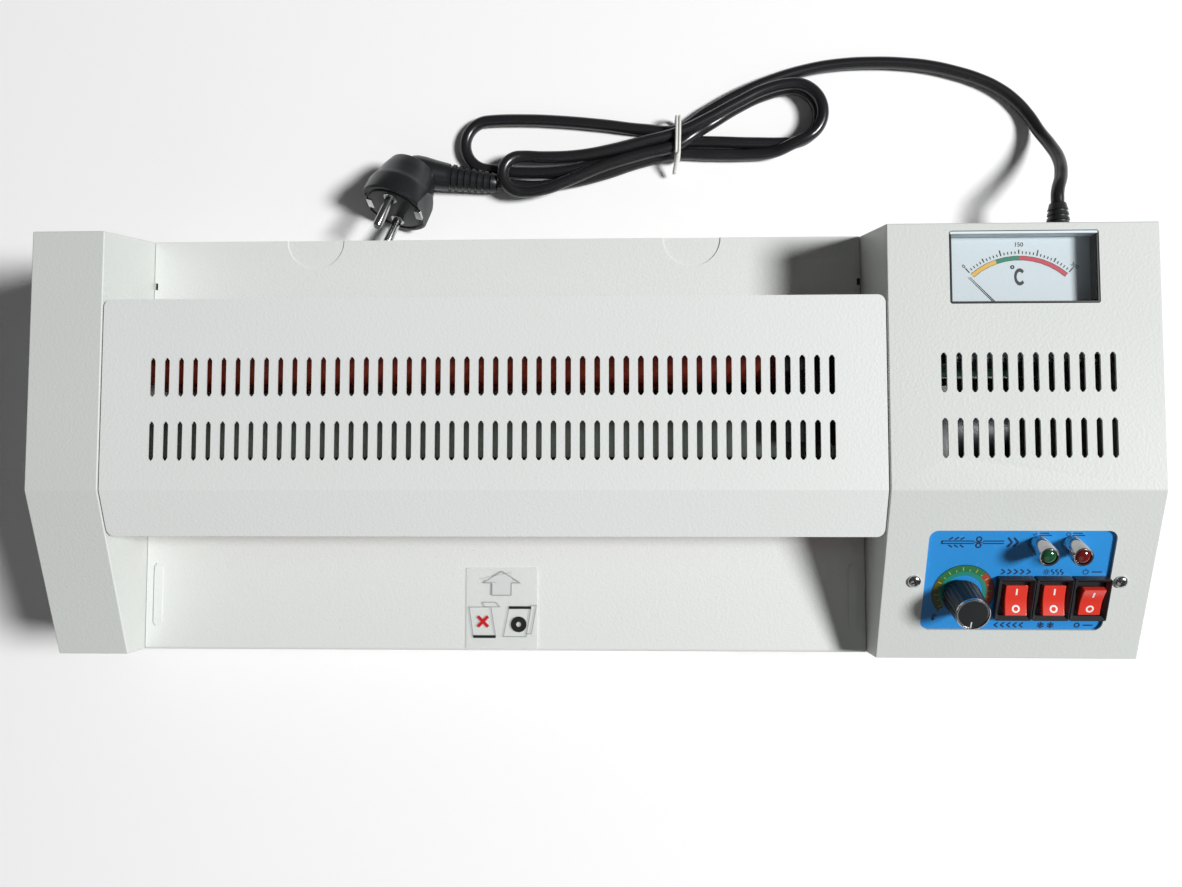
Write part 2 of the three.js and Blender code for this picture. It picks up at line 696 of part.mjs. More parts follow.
function addLamps(xs, top) {
  const barrel = lampRadius - lampLip;
  const radius = barrel - gap;
  const bottom = lampHeight - lensDepth;
  const dome = Array.from({ length: 4 }, (_, k) => {
    const angle = k * Math.PI / 8;
    return [radius * Math.cos(angle), lampHeight - lampLip + lensDome * Math.sin(angle)];
  });
  const profile = [[0, bottom], [radius, bottom], ...dome, [0, lampHeight - lampLip + lensDome]];
  const points = profile.map(([r, z]) => new THREE.Vector2(r, z));
  [['ready', 0x1f5a35], ['power', 0x7a1712]].forEach(([name, colour], i) => {
    const [x, y] = [xs[i], -lampDown];
    const bezel = union([
      rodZ(x, y, top + gap, lampHeight, lampRadius, lampRadius - lampTaper, 24),
      rodZ(x, y, -lampDepth, top + 1, barrel, barrel, 20),
    ]);
    const recess = rodZ(x, y, bottom - gap, lampHeight + 1, barrel, barrel, 20);
    addPart(`lamp_bezel_${name}`, bezel.subtract(recess), 0xd0d2d4, 0.15, 1, slope);
    const lens = solid(new THREE.LatheGeometry(points, 20), at(x, y, 0, new THREE.Euler(Math.PI / 2, 0, 0)));
    addPart(`lamp_lens_${name}`, lens, colour, 0.1, 0, slope);
  });
}

function addKnob(top) {
  const [x, y] = [panelX + knobOffset, -knobDown];
  const potTop = top - panelThick - gap;
  const shaftEnd = top - potShaftDepth;
  const socketTop = knobHeight - knobSocket;
  const pot = union([
    rodZ(x, y, potTop - potLength, potTop, potRadius, potRadius, 24),
    rodZ(x, y, potTop - 1, top - gap, bushRadius, bushRadius, 16),
  ]);
  const fit = potShaftRadius + gap;
  addPart('potentiometer', pot.subtract(rodZ(x, y, shaftEnd - gap, top + 1, fit, fit, 16)),
    0x9a9da0, 0.35, 0.8, slope);
  const shaft = rodZ(x, y, shaftEnd, socketTop, potShaftRadius, potShaftRadius, 16);
  addPart('potentiometer_shaft', shaft, 0xb9bcc0, 0.3, 1, slope);
  const knob = rodZ(x, y, 0, knobHeight, knobRadius + knobFlare, knobRadius, 28);
  addPart('knob', knob.subtract(rodZ(x, y, -1, socketTop + gap, fit, fit, 16)), black, 0.4, 0, slope);
}

// Mains cord ---------------------------------------------------------------

// The lead from the gland down to the table and across behind the machine.
function leadPoints() {
  const exitX = right - glandInset;
  return [
    [exitX, rear + glandNose + gap, glandHeight],
    [exitX + 0.3, rear + glandNose + 6, glandHeight - 0.3],
    [240.7, 138.3, 30],
    [243.3, 150, 21.5],
    [242.3, 160.4, 13.5],
    [239.5, 170, 7.2],
    [235.5, 179.5, 4.2],
    [228.5, 188.5, 3.4],
    [219.4, 195.6, 3.4],
    [208.5, 201, 3.4],
    [197.1, 204.8, 3.4],
    [184, 208, 3.4],
    [171.3, 209.7, 3.4],
    [153, 210.6, 3.4],
    [134, 209.8, 3.4],
    [118.4, 207.4, 3.4],
  ];
}

function addLead() {
  const points = leadPoints().map(([x, y, z]) => new THREE.Vector3(x, y, z));
  const path = new THREE.CatmullRomCurve3(points, false, 'centripetal');
  const section = new THREE.Shape();
  section.absarc(0, 0, cordRadius, 0, 2 * Math.PI);
  const geometry = new THREE.ExtrudeGeometry(section, {
    extrudePath: path, steps: 24, bevelEnabled: false, curveSegments: 5,
  });
  addPart('cord_lead', solid(geometry), black, 0.35, 0);
  const exit = (y) => new THREE.Vector3(right - glandInset, y, glandHeight);
  const [flangeStart, flangeEnd] = [rear + gap, rear + gap + glandFlange.thick];
  const gland = union([
    rod(exit(flangeStart), exit(flangeEnd), glandFlange.radius, glandFlange.radius, 20),
    rod(exit(flangeEnd - glandNeck.length), exit(flangeEnd - 1), glandNeck.radius, glandNeck.radius, 16),
    rod(exit(flangeEnd - gap), exit(rear + glandNose), ...glandTaper, 16),
  ]);
  addPart('cord_gland', gland, black, 0.5, 0);
}

// The folded and tied rest of the cord, as one outline with a round lobe at each end.
function addHank() {
  const shape = new THREE.Shape();
  shape.moveTo(46, 157.4);
  shape.bezierCurveTo(66, 156.6, 92, 155.6, 108, 160);
  shape.bezierCurveTo(125, 166, 132, 188, 121, 200);
  shape.lineTo(118.6, 203.2);
  shape.lineTo(117.3, 211.3);
  shape.bezierCurveTo(92, 207, 70, 193, 46, 178.2);
  shape.bezierCurveTo(20, 180, -20, 184.5, -56, 184);
  shape.bezierCurveTo(-78, 182, -79, 158, -62, 153.8);
  shape.lineTo(-50.4, 153.4);
  shape.lineTo(-50.2, 134.8);
  shape.bezierCurveTo(-30, 133.6, -14, 139, 6, 147);
  shape.bezierCurveTo(20, 151.4, 33, 156, 46, 157.4);
  addPart('cord_hank', alongZ(shape, hankLift, hankHeight, 5), black, 0.35, 0);
  const { x, width, wall } = tie;
  const high = hankHeight + gap;
  const outer = box(x - width / 2, x + width / 2, tie.front - wall, tie.rear + wall, tie.lift, high + wall);
  const inner = box(x - width, x + width, tie.front, tie.rear, -1, high);
  addPart('cord_tie', outer.subtract(inner), 0xe8e8e6, 0.4, 0);
}

// An angled plug that lies on its rim, with one pin above the other and its cable leaving to the right.
function addPlug() {
  const face = new THREE.Vector3(-105.5, 126.9, 20.2);
  const out = new THREE.Vector3(-0.3, -0.9, 0.312).normalize();
  const pinLine = new THREE.Vector3(0, -0.327, -0.945).normalize();
  const elbow = new THREE.Vector3(-96.5, 150.4, 10.6);
  const reliefStart = new THREE.Vector3(-79.5, 148, 8.2);
  const reliefEnd = new THREE.Vector3(-52.4, 144.8, 6);
  const onFace = (up, depth) => face.clone().addScaledVector(pinLine, up).addScaledVector(out, -depth);
  const body = union([
    rod(onFace(0, 0), onFace(0, plugRim.depth), plugRadius, plugRim.radius, 28),
    rod(onFace(0, plugRim.depth), onFace(0, plugBack.depth), plugRim.radius, plugBack.radius, 28),
    rod(elbow, reliefStart, 8.8, 7.3, 16),
    rod(reliefStart, reliefEnd, 7.3, 5.4, 16),
  ]);
  const above = box(-200, 0, 60, 220, plugLift, 80);
  const places = [-pinPitch / 2, pinPitch / 2];
  const sockets = places.map((up) => {
    return rod(onFace(up, -1), onFace(up, pinRoot + gap), pinRadius + gap, pinRadius + gap, 16);
  });
  addPart('plug_body', cut(body.intersect(above), sockets), black, 0.45, 0);
  places.forEach((up, i) => {
    const pin = rod(onFace(up, pinRoot), onFace(up, -pinLength), pinRadius, pinRadius, 16);
    addPart(`plug_pin_${i + 1}`, pin, 0xc9c6bd, 0.2, 1);
  });
}

// A tapered round bar between two points.
function rod(from, to, startRadius, endRadius, sides) {
  const axis = new THREE.Vector3().subVectors(to, from);
  const geometry = new THREE.CylinderGeometry(endRadius, startRadius, axis.length(), sides);
  const turn = new THREE.Quaternion();
  turn.setFromUnitVectors(new THREE.Vector3(0, 1, 0), axis.clone().normalize());
  const middle = from.clone().lerp(to, 0.5);
  return solid(geometry, new THREE.Matrix4().compose(middle, turn, new THREE.Vector3(1, 1, 1)));
}

addHousings();
addBase();
addTrays();
addCover();
addFrames();
addRollers();
addDrive();
addHeaters();
addBoard();
addMeter();
addPanel();
addLead();
addHank();
addPlug();

export default laminator;
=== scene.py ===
import json
import math

import bmesh
import bpy
from mathutils import Matrix, Vector


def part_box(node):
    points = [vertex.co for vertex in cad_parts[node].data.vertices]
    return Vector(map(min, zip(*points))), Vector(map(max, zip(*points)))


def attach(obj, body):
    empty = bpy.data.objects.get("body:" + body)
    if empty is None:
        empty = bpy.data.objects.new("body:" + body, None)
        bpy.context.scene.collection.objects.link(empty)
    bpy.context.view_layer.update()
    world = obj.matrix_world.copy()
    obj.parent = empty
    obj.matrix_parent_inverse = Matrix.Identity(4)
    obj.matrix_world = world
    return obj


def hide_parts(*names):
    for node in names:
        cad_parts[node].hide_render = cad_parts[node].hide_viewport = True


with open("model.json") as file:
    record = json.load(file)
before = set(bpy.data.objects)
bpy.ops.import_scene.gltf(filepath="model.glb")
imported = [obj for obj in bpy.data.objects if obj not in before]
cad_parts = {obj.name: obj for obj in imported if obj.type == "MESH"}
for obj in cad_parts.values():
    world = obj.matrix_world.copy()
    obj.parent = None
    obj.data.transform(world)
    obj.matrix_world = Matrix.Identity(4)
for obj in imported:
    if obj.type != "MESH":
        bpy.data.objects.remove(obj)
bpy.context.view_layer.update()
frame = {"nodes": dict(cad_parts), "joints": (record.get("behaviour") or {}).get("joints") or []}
mm = 0.001
nodes = frame["nodes"]


# ---- camera ----
viewpoint = {"place": (0.0174, -0.0306, 0.5447), "turnDegrees": (3.508, 1.953, 0.010), "lens": 30.69}


def placeCamera():
    camera = bpy.data.objects.new("camera", bpy.data.cameras.new("camera"))
    camera.data.lens = viewpoint["lens"]
    camera.data.sensor_width = 36
    camera.data.clip_start = 0.01
    camera.location = viewpoint["place"]
    camera.rotation_euler = [math.radians(a) for a in viewpoint["turnDegrees"]]
    bpy.context.scene.collection.objects.link(camera)
    bpy.context.scene.camera = camera


placeCamera()
print("camera placed")


# ---- shared making helpers ----
def pieceFromBmesh(name, bm, body="case", material=None, smoothAngle=35):
    mesh = bpy.data.meshes.new(name)
    bm.to_mesh(mesh)
    bm.free()
    piece = bpy.data.objects.new(name, mesh)
    bpy.context.scene.collection.objects.link(piece)
    if smoothAngle:
        mesh.shade_smooth()
        mesh.set_sharp_from_angle(angle=math.radians(smoothAngle))
    return fitOut(piece, body, material)


def fitOut(piece, body, material):
    if material:
        piece.data.materials.clear()
        piece.data.materials.append(material)
    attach(piece, body)
    return piece


# A CAD node's loose triangles, merged and cleaned into large flat faces.
def mergedCopy(node):
    bm = bmesh.new()
    bm.from_mesh(nodes[node].data)
    bmesh.ops.remove_doubles(bm, verts=bm.verts, dist=0.004 * mm)
    bmesh.ops.dissolve_limit(bm, angle_limit=math.radians(0.6), verts=bm.verts, edges=bm.edges)
    return bm


def roundEdges(bm, edges, radius, segments, clamp=False):
    bmesh.ops.bevel(bm, geom=edges, offset=radius, affect="EDGES", segments=segments, profile=0.5,
                    material=-1, clamp_overlap=clamp)


# How far an edge runs up or down.
def rise(edge):
    return abs(edge.verts[0].co.z - edge.verts[1].co.z)


# Cuts off what lies beyond a plane and closes the cut.
def cutAway(bm, place, normal):
    geometry = bm.verts[:] + bm.edges[:] + bm.faces[:]
    bmesh.ops.bisect_plane(bm, geom=geometry, plane_co=place, plane_no=normal, clear_outer=True)
    bmesh.ops.holes_fill(bm, edges=[edge for edge in bm.edges if edge.is_boundary])


# Gives faces a thickness and closes the result.
def extrude(bm, faces, way):
    grown = bmesh.ops.extrude_face_region(bm, geom=faces, use_keep_orig=True)["geom"]
    verts = [part for part in grown if isinstance(part, bmesh.types.BMVert)]
    bmesh.ops.translate(bm, verts=verts, vec=way)
    bmesh.ops.recalc_face_normals(bm, faces=bm.faces)


# Rounds the long folds of a sheet-metal shell and leaves its thin rims alone.
def roundFolds(bm, radius, segments, minLength, minWidth):
    folds = []
    for edge in bm.edges:
        if len(edge.link_faces) != 2 or edge.calc_length() < minLength:
            continue
        if edge.calc_face_angle() < math.radians(12):
            continue
        widths = [face.calc_area() / edge.calc_length() for face in edge.link_faces]
        if min(widths) > minWidth:
            folds.append(edge)
    roundEdges(bm, folds, radius, segments, clamp=True)


def addBevel(piece, width, segments=2, angle=28):
    bevel = piece.modifiers.new("bevel", "BEVEL")
    bevel.width = width
    bevel.segments = segments
    bevel.limit_method = "ANGLE"
    bevel.angle_limit = math.radians(angle)
    bevel.harden_normals = True
    bevel.use_clamp_overlap = True


# Keeps wide flat faces flat where they meet a small round.
def addFlatNormals(piece):
    normals = piece.modifiers.new("flatNormals", "WEIGHTED_NORMAL")
    normals.mode = "FACE_AREA"
    normals.weight = 100
    normals.keep_sharp = True


# A round piece about its own Z, turned from (radius, height) pairs.
def turned(profile, steps=48):
    bm = bmesh.new()
    verts = [bm.verts.new((r, 0, z)) for r, z in profile]
    edges = [bm.edges.new(pair) for pair in zip(verts, verts[1:])]
    bmesh.ops.spin(bm, geom=verts + edges, cent=(0, 0, 0), axis=(0, 0, 1),
                   angle=2 * math.pi, steps=steps, use_merge=True)
    bmesh.ops.remove_doubles(bm, verts=bm.verts, dist=0.002 * mm)
    bmesh.ops.recalc_face_normals(bm, faces=bm.faces)
    return bm


# A round wire through points in millimetres.
def wireCurve(name, points, radius, rounds, steps, closed=False):
    curve = bpy.data.curves.new(name, "CURVE")
    curve.dimensions = "3D"
    curve.bevel_depth = radius
    curve.bevel_resolution = rounds
    curve.resolution_u = steps
    curve.use_fill_caps = not closed
    spline = curve.splines.new("BEZIER")
    spline.bezier_points.add(len(points) - 1)
    spline.use_cyclic_u = closed
    for point, place in zip(spline.bezier_points, points):
        point.co = Vector(place) * mm
        point.handle_left_type = point.handle_right_type = "AUTO"
    return bpy.data.objects.new(name, curve)


# ---- mains cord ----
cordSizes = {"diameter": 6.4 * mm, "length": 1.2, "low": 3.4, "high": 9.9, "loopPoints": 13,
             "foldRadius": 9.7, "hump": 1.6}


def arcPoints(centre, radius, start, end, count, startZ, endZ):
    points = []
    for i in range(count):
        t = i / (count - 1)
        angle = math.radians(start + (end - start) * t)
        x, y = centre[0] + radius * math.cos(angle), centre[1] + radius * math.sin(angle)
        points.append((x, y, startZ + (endZ - startZ) * t))
    return points


# From the gland down to the table and across behind the machine, in millimetres.
leadRoute = [
    (236, 121.8, 36), (236.3, 127.5, 35.7), (240.7, 138.3, 30), (243.3, 150, 21.5), (242.3, 160.4, 13.5),
    (239.5, 170, 7.2), (235.5, 179.5, 4.2), (228.5, 188.5, 3.4), (219.4, 195.6, 3.4), (208.5, 201, 3.4),
    (197.1, 204.8, 3.4), (184, 208, 3.4), (171.3, 209.7, 3.4), (153, 210.6, 3.4), (134, 209.8, 3.4),
    (118.4, 207.4, 3.4),
]


# Two turns on each side of the tie, the second turn lying on the first, then out to the plug.
def hankRoute():
    low, high, count = cordSizes["low"], cordSizes["high"], cordSizes["loopPoints"]
    firstLeft = arcPoints((-56.5, 167), 13.7, 90, 270, count, low, low)
    firstRight = arcPoints((108, 181.5), 15, -90, 90, count, low, low)
    fold = arcPoints((-38.8, 148.6), cordSizes["foldRadius"], 270, 90, count, high, high)
    hump = [cordSizes["hump"] * math.sin(math.pi * i / (count - 1)) for i in range(count)]
    secondLeft = [(x, y, z + rise) for (x, y, z), rise in zip(fold, hump)]
    secondRight = arcPoints((108.5, 181.3), 15.6, 90, -60, count, high, high)
    return [
        (98, 201.6, low), (80, 194, low), (63, 184.5, low), (46, 174.3, low), (28, 174.8, low),
        (6, 177.6, low), (-18, 180, low), (-38, 181, low),
        *firstLeft,
        (-38, 151.6, low), (-14, 152.6, low), (4, 157, low), (24, 163.3, low), (46, 167.4, low),
        (64, 167.4, low), (86, 166.6, low),
        *firstRight,
        (94, 193.4, low), (79, 186.4, low), (64, 176.8, 4.6), (54, 169.5, 8.4), (46, 164.1, 9.2),
        (26, 158.6, 9.8), (6, 152.6, high), (-14, 144.6, high), (-26, 140.3, high),
        *secondLeft,
        (-26, 157.8, high), (-8, 158.4, high), (10, 161.4, high), (28, 165.9, 9.8), (46, 170.7, 9.2),
        (62, 178, 9.6), (79, 187, high), (94, 194, high),
        *secondRight,
        (108.5, 164.4, 8.6), (98, 160.9, 4.8), (84, 160.1, low), (64, 160.3, low), (46, 160.8, low),
        (26, 156.6, low), (6, 150.2, low), (-14, 145.6, low), (-30, 143.9, low), (-42, 144.2, 4.1),
        (-52, 144.8, 5.9),
    ]


def makeCord(material):
    piece = wireCurve("mainsCord", leadRoute + hankRoute(), cordSizes["diameter"] / 2, 6, 10)
    bpy.context.scene.collection.objects.link(piece)
    fitOut(piece, "case", material)
    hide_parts("cord_lead", "cord_hank")
    return piece


# ---- shared shader groups ----
def newGroup(name, inputs, outputs):
    group = bpy.data.node_groups.new(name, "ShaderNodeTree")
    for label, kind, value in inputs:
        socket = group.interface.new_socket(label, in_out="INPUT", socket_type=kind)
        socket.default_value = value
    for label, kind in outputs:
        group.interface.new_socket(label, in_out="OUTPUT", socket_type=kind)
    return group


def addNode(tree, kind, links=None, **settings):
    node = tree.nodes.new(kind)
    for key, value in settings.items():
        setattr(node, key, value)
    for key, value in (links or {}).items():
        socket = node.inputs[key]
        if isinstance(value, bpy.types.NodeSocket):
            tree.links.new(value, socket)
        else:
            socket.default_value = value
    return node


def mathNode(tree, operation, *values):
    return addNode(tree, "ShaderNodeMath", dict(enumerate(values)), operation=operation).outputs[0]


def blend(tree, share, first, second):
    return addNode(tree, "ShaderNodeMix", {0: share, 6: first, 7: second}, data_type="RGBA").outputs[2]


def ramp(tree, factor, stops):
    node = addNode(tree, "ShaderNodeValToRGB", {"Fac": factor})
    elements = node.color_ramp.elements
    while len(elements) < len(stops):
        elements.new(0.5)
    for element, (position, value) in zip(elements, stops):
        element.position = position
        element.color = (value, value, value, 1) if isinstance(value, (int, float)) else value
    return node.outputs["Color"]


# Colour drift, a grainy surface and faint dust, all on Object coordinates.
def grainGroup():
    tree = newGroup("surfaceGrain", [
        ("Color", "NodeSocketColor", (0.8, 0.8, 0.8, 1)),
        ("Tint", "NodeSocketColor", (0.7, 0.7, 0.7, 1)),
        ("Drift", "NodeSocketFloat", 0.3),
        ("Grain Size", "NodeSocketFloat", 0.0012),
        ("Roughness", "NodeSocketFloat", 0.4),
        ("Roughness Range", "NodeSocketFloat", 0.1),
        ("Speck Color", "NodeSocketColor", (0.5, 0.5, 0.5, 1)),
        ("Specks", "NodeSocketFloat", 0.3),
    ], [("Color", "NodeSocketColor"), ("Roughness", "NodeSocketFloat"), ("Height", "NodeSocketFloat")])
    given = addNode(tree, "NodeGroupInput").outputs
    coords = addNode(tree, "ShaderNodeTexCoord").outputs["Object"]
    scale = mathNode(tree, "DIVIDE", 1.0, given["Grain Size"])
    bumps = addNode(tree, "ShaderNodeTexVoronoi", {"Vector": coords, "Scale": scale}, feature="SMOOTH_F1")
    ripple = addNode(tree, "ShaderNodeTexNoise", {"Vector": coords, "Scale": scale, "Detail": 3.0})
    broad = addNode(tree, "ShaderNodeTexNoise", {"Vector": coords, "Scale": 9.0, "Detail": 4.0})
    height = mathNode(tree, "ADD", bumps.outputs["Distance"], ripple.outputs[0])
    drift = ramp(tree, broad.outputs[0], [(0.35, 0.0), (0.7, 1.0)])
    share = mathNode(tree, "MULTIPLY", drift, given["Drift"])
    tinted = blend(tree, share, given["Color"], given["Tint"])
    flecks = addNode(tree, "ShaderNodeTexNoise", {"Vector": coords, "Scale": 620.0, "Detail": 1.0})
    fleckMask = ramp(tree, flecks.outputs[0], [(0.71, 0.0), (0.76, 1.0)])
    fleck = mathNode(tree, "MULTIPLY", fleckMask, given["Specks"])
    colour = blend(tree, fleck, tinted, given["Speck Color"])
    centred = mathNode(tree, "SUBTRACT", broad.outputs[0], 0.5)
    rough = mathNode(tree, "MULTIPLY_ADD", centred, given["Roughness Range"], given["Roughness"])
    addNode(tree, "NodeGroupOutput", {"Color": colour, "Roughness": rough, "Height": height})
    return tree


grain = grainGroup()


# A finish is the grain group with its own values, under a Principled shader with constant sockets.
def makeFinish(name, colour, tint=None, grainSize=0.0012, bump=0.1, depth=0.0001, roughness=0.4,
               roughRange=0.1, drift=0.3, specks=0.0, speckColour=(0.4, 0.4, 0.4), **constants):
    material = bpy.data.materials.new(name)
    material.use_nodes = True
    tree = material.node_tree
    shader = tree.nodes["Principled BSDF"]
    for socket, value in constants.items():
        shader.inputs[socket.replace("_", " ")].default_value = value
    surface = addNode(tree, "ShaderNodeGroup", {}, node_tree=grain)
    tint = tint or tuple(0.85 * c for c in colour)
    values = {"Color": (*colour, 1), "Tint": (*tint, 1), "Drift": drift, "Grain Size": grainSize,
              "Roughness": roughness, "Roughness Range": roughRange, "Specks": specks,
              "Speck Color": (*speckColour, 1)}
    for socket, value in values.items():
        surface.inputs[socket].default_value = value
    tree.links.new(surface.outputs["Color"], shader.inputs["Base Color"])
    tree.links.new(surface.outputs["Roughness"], shader.inputs["Roughness"])
    if bump:
        relief = addNode(tree, "ShaderNodeBump", {"Strength": bump, "Distance": depth,
                                                  "Height": surface.outputs["Height"]})
        tree.links.new(relief.outputs["Normal"], shader.inputs["Normal"])
    return material


def paintFinish(name, colour, tint):
    return makeFinish(name, colour, tint, grainSize=0.0011, bump=0.35, depth=0.00016, roughness=0.52,
                      roughRange=0.12, drift=0.35, specks=0.10, speckColour=(0.30, 0.29, 0.26),
                      Specular_IOR_Level=0.5)


finishes = {
    # One paint covers the whole case; the housings' copy of it is made darker as painted shade, for the
    # weaker light that falls on them.
    "shadedCasePaint": paintFinish("shadedCasePaint", (0.600, 0.622, 0.600), (0.550, 0.572, 0.545)),
    "coverPaint": paintFinish("coverPaint", (0.710, 0.732, 0.718), (0.665, 0.690, 0.670)),
    "trayPaint": paintFinish("trayPaint", (0.700, 0.720, 0.700), (0.650, 0.670, 0.655)),
    "basePaint": paintFinish("basePaint", (0.56, 0.58, 0.55), (0.50, 0.52, 0.49)),
    "cordVinyl": makeFinish("cordVinyl", (0.012, 0.012, 0.014), (0.022, 0.021, 0.020), grainSize=0.0016,
                            bump=0.08, depth=0.0001, roughness=0.27, roughRange=0.12),
    "blackPlastic": makeFinish("blackPlastic", (0.016, 0.016, 0.018), (0.028, 0.028, 0.030), grainSize=0.0005,
                               bump=0.12, depth=0.00006, roughness=0.38, roughRange=0.14),
    "silicone": makeFinish("siliconeRed", (0.40, 0.055, 0.030), (0.30, 0.035, 0.020), grainSize=0.0009,
                           bump=0.10, depth=0.00008, roughness=0.45, roughRange=0.15, specks=0.25,
                           speckColour=(0.55, 0.30, 0.24)),
    "heaterMetal": makeFinish("heaterMetal", (0.34, 0.40, 0.36), (0.22, 0.27, 0.24), grainSize=0.0022,
                              bump=0.10, depth=0.0001, roughness=0.42, roughRange=0.25, Metallic=0.8),
    "steel": makeFinish("frameSteel", (0.52, 0.54, 0.55), (0.42, 0.44, 0.45), grainSize=0.0015, bump=0.06,
                        depth=0.00005, roughness=0.33, roughRange=0.2, Metallic=1.0),
    "chrome": makeFinish("chrome", (0.56, 0.56, 0.57), (0.46, 0.46, 0.47), grainSize=0.003, bump=0.03,
                         depth=0.00003, roughness=0.18, roughRange=0.08, Metallic=1.0),
    "nylon": makeFinish("gearNylon", (0.78, 0.75, 0.66), (0.70, 0.66, 0.56), grainSize=0.001, bump=0.05,
                        depth=0.00005, roughness=0.45, roughRange=0.1),
    "rubber": makeFinish("footRubber", (0.020, 0.020, 0.021), (0.035, 0.034, 0.033), grainSize=0.0007,
                         bump=0.25, depth=0.0001, roughness=0.75, roughRange=0.15, specks=0.2,
                         speckColour=(0.15, 0.14, 0.13)),
    "boardGreen": makeFinish("boardGreen", (0.03, 0.16, 0.08), (0.02, 0.11, 0.06), grainSize=0.002, bump=0.1,
                             depth=0.00005, roughness=0.35, specks=0.4, speckColour=(0.7, 0.7, 0.6)),
}
print("finishes made")

cord = makeCord(finishes["cordVinyl"])
print("cord laid")


# ---- sheet-metal case ----
caseSizes = {"foldRadius": 1.5 * mm, "foldSegments": 4, "foldLength": 14 * mm, "wallWidth": 3 * mm,
             "edgeBevel": 0.16 * mm, "slotRound": 0.35 * mm, "slotEdge": 1.8 * mm}


# Slot ends are made rounder at their short upright edges.
def roundSlots(bm):
    top = max(vert.co.z for vert in bm.verts)
    short = [edge for edge in bm.edges if edge.calc_length() < caseSizes["slotEdge"]
             and rise(edge) > 0.99 * edge.calc_length()
             and min(vert.co.z for vert in edge.verts) > top - caseSizes["slotEdge"]]
    roundEdges(bm, short, caseSizes["slotRound"], 3, clamp=True)


def makeShell(name, node, material, foldRadius=caseSizes["foldRadius"]):
    bm = mergedCopy(node)
    roundFolds(bm, foldRadius, caseSizes["foldSegments"], caseSizes["foldLength"], caseSizes["wallWidth"])
    roundSlots(bm)
    piece = pieceFromBmesh(name, bm, "case", material, smoothAngle=None)
    piece.data.shade_smooth()
    addBevel(piece, caseSizes["edgeBevel"])
    addFlatNormals(piece)
    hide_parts(node)
    return piece


makeShell("leftHousing", "left_housing", finishes["shadedCasePaint"])
makeShell("rightHousing", "right_housing", finishes["shadedCasePaint"])
makeShell("topCover", "top_cover", finishes["coverPaint"])
makeShell("frontTray", "front_tray", finishes["trayPaint"])
makeShell("rearTray", "rear_tray", finishes["trayPaint"])
makeShell("basePan", "base_pan", finishes["basePaint"])
print("case folded")

# ---- places that follow from the frame ----
joints = {joint["name"]: joint for joint in frame["joints"]}
slopeAxis = Vector(joints["knob_turn"]["axis"])
slopeTurn = Matrix.Rotation(math.atan2(slopeAxis.y, -slopeAxis.z), 4, "X")


# A node's lowest and highest corners measured square to the front slope.
def slopeBox(node):
    corners = [slopeTurn.inverted() @ vert.co for vert in nodes[node].data.vertices]
    low = Vector([min(corner[i] for corner in corners) for i in range(3)])
    high = Vector([max(corner[i] for corner in corners) for i in range(3)])
    return low, high


slopeTop = slopeBox("right_housing")[1].z


def middle(box):
    return (box[0] + box[1]) / 2


# A place on the front slope, given by a node's centre and a height above the paint.
def onSlope(node, height=0.0, turn=0.0):
    centre = middle(slopeBox(node))
    return (slopeTurn @ Matrix.Translation((centre.x, centre.y, slopeTop + height))
            @ Matrix.Rotation(math.radians(turn), 4, "Z"))


scaleDown = Matrix.Scale(mm, 4)


# Small pieces are drawn in millimetres about their own centre and then placed.
def placed(name, bm, place, body="case", material=None, bevel=0.0, smoothAngle=35):
    bm.transform(place @ scaleDown)
    piece = pieceFromBmesh(name, bm, body, material, smoothAngle)
    if bevel:
        addBevel(piece, bevel * mm)
    return piece


def addBlock(bm, size, centre=(0, 0, 0), turn=None):
    matrix = Matrix.Translation(centre) @ (turn or Matrix.Identity(4)) @ Matrix.Diagonal((*size, 1))
    return bmesh.ops.create_cube(bm, size=1, matrix=matrix)["verts"]


# ---- flat printed marks, each a hair above the one before, so that no two faces coincide ----
def nextLift(bm):
    return 0.0008 * len(bm.faces)


# A flat direction at an angle in degrees.
def spokeAt(angle):
    return Vector((math.cos(math.radians(angle)), math.sin(math.radians(angle))))


def markBar(bm, start, end, width):
    start, end = Vector((*start, 0)), Vector((*end, 0))
    along = end - start
    turn = Matrix.Rotation(math.atan2(along.y, along.x), 4, "Z")
    middleSpot = (start + end) / 2 + Vector((0, 0, nextLift(bm)))
    matrix = Matrix.Translation(middleSpot) @ turn @ Matrix.Diagonal((along.length, width, 1, 1))
    bmesh.ops.create_grid(bm, x_segments=1, y_segments=1, size=0.5, matrix=matrix)


def markRing(bm, centre, inner, outer, start=0, sweep=360):
    spoke = spokeAt(start).to_3d()
    centre = Vector((*centre, nextLift(bm)))
    ends = [bm.verts.new(centre + spoke * inner), bm.verts.new(centre + spoke * outer)]
    edge = bm.edges.new(ends)
    bmesh.ops.spin(bm, geom=ends + [edge], cent=centre, axis=(0, 0, 1), angle=math.radians(sweep),
                   steps=max(6, round(abs(sweep) / 7.5)), use_merge=sweep == 360)


# A triangle that stands on its base and points along Y.
def markHead(bm, base, halfWidth, height):
    spot = Matrix.Translation((base[0], base[1] + height / 3, nextLift(bm)))
    stretch = Matrix.Diagonal((halfWidth / math.cos(math.pi / 6), height / 1.5, 1, 1))
    turn = Matrix.Rotation(math.pi / 2, 4, "Z")
    bmesh.ops.create_circle(bm, cap_ends=True, segments=3, radius=1, matrix=spot @ stretch @ turn)


# Flat marks get the thickness of ink, so that they are closed.
def printed(name, bm, place, material, body="case", height=0.05):
    extrude(bm, bm.faces[:], (0, 0, height))
    return placed(name, bm, place, body, material, smoothAngle=None)


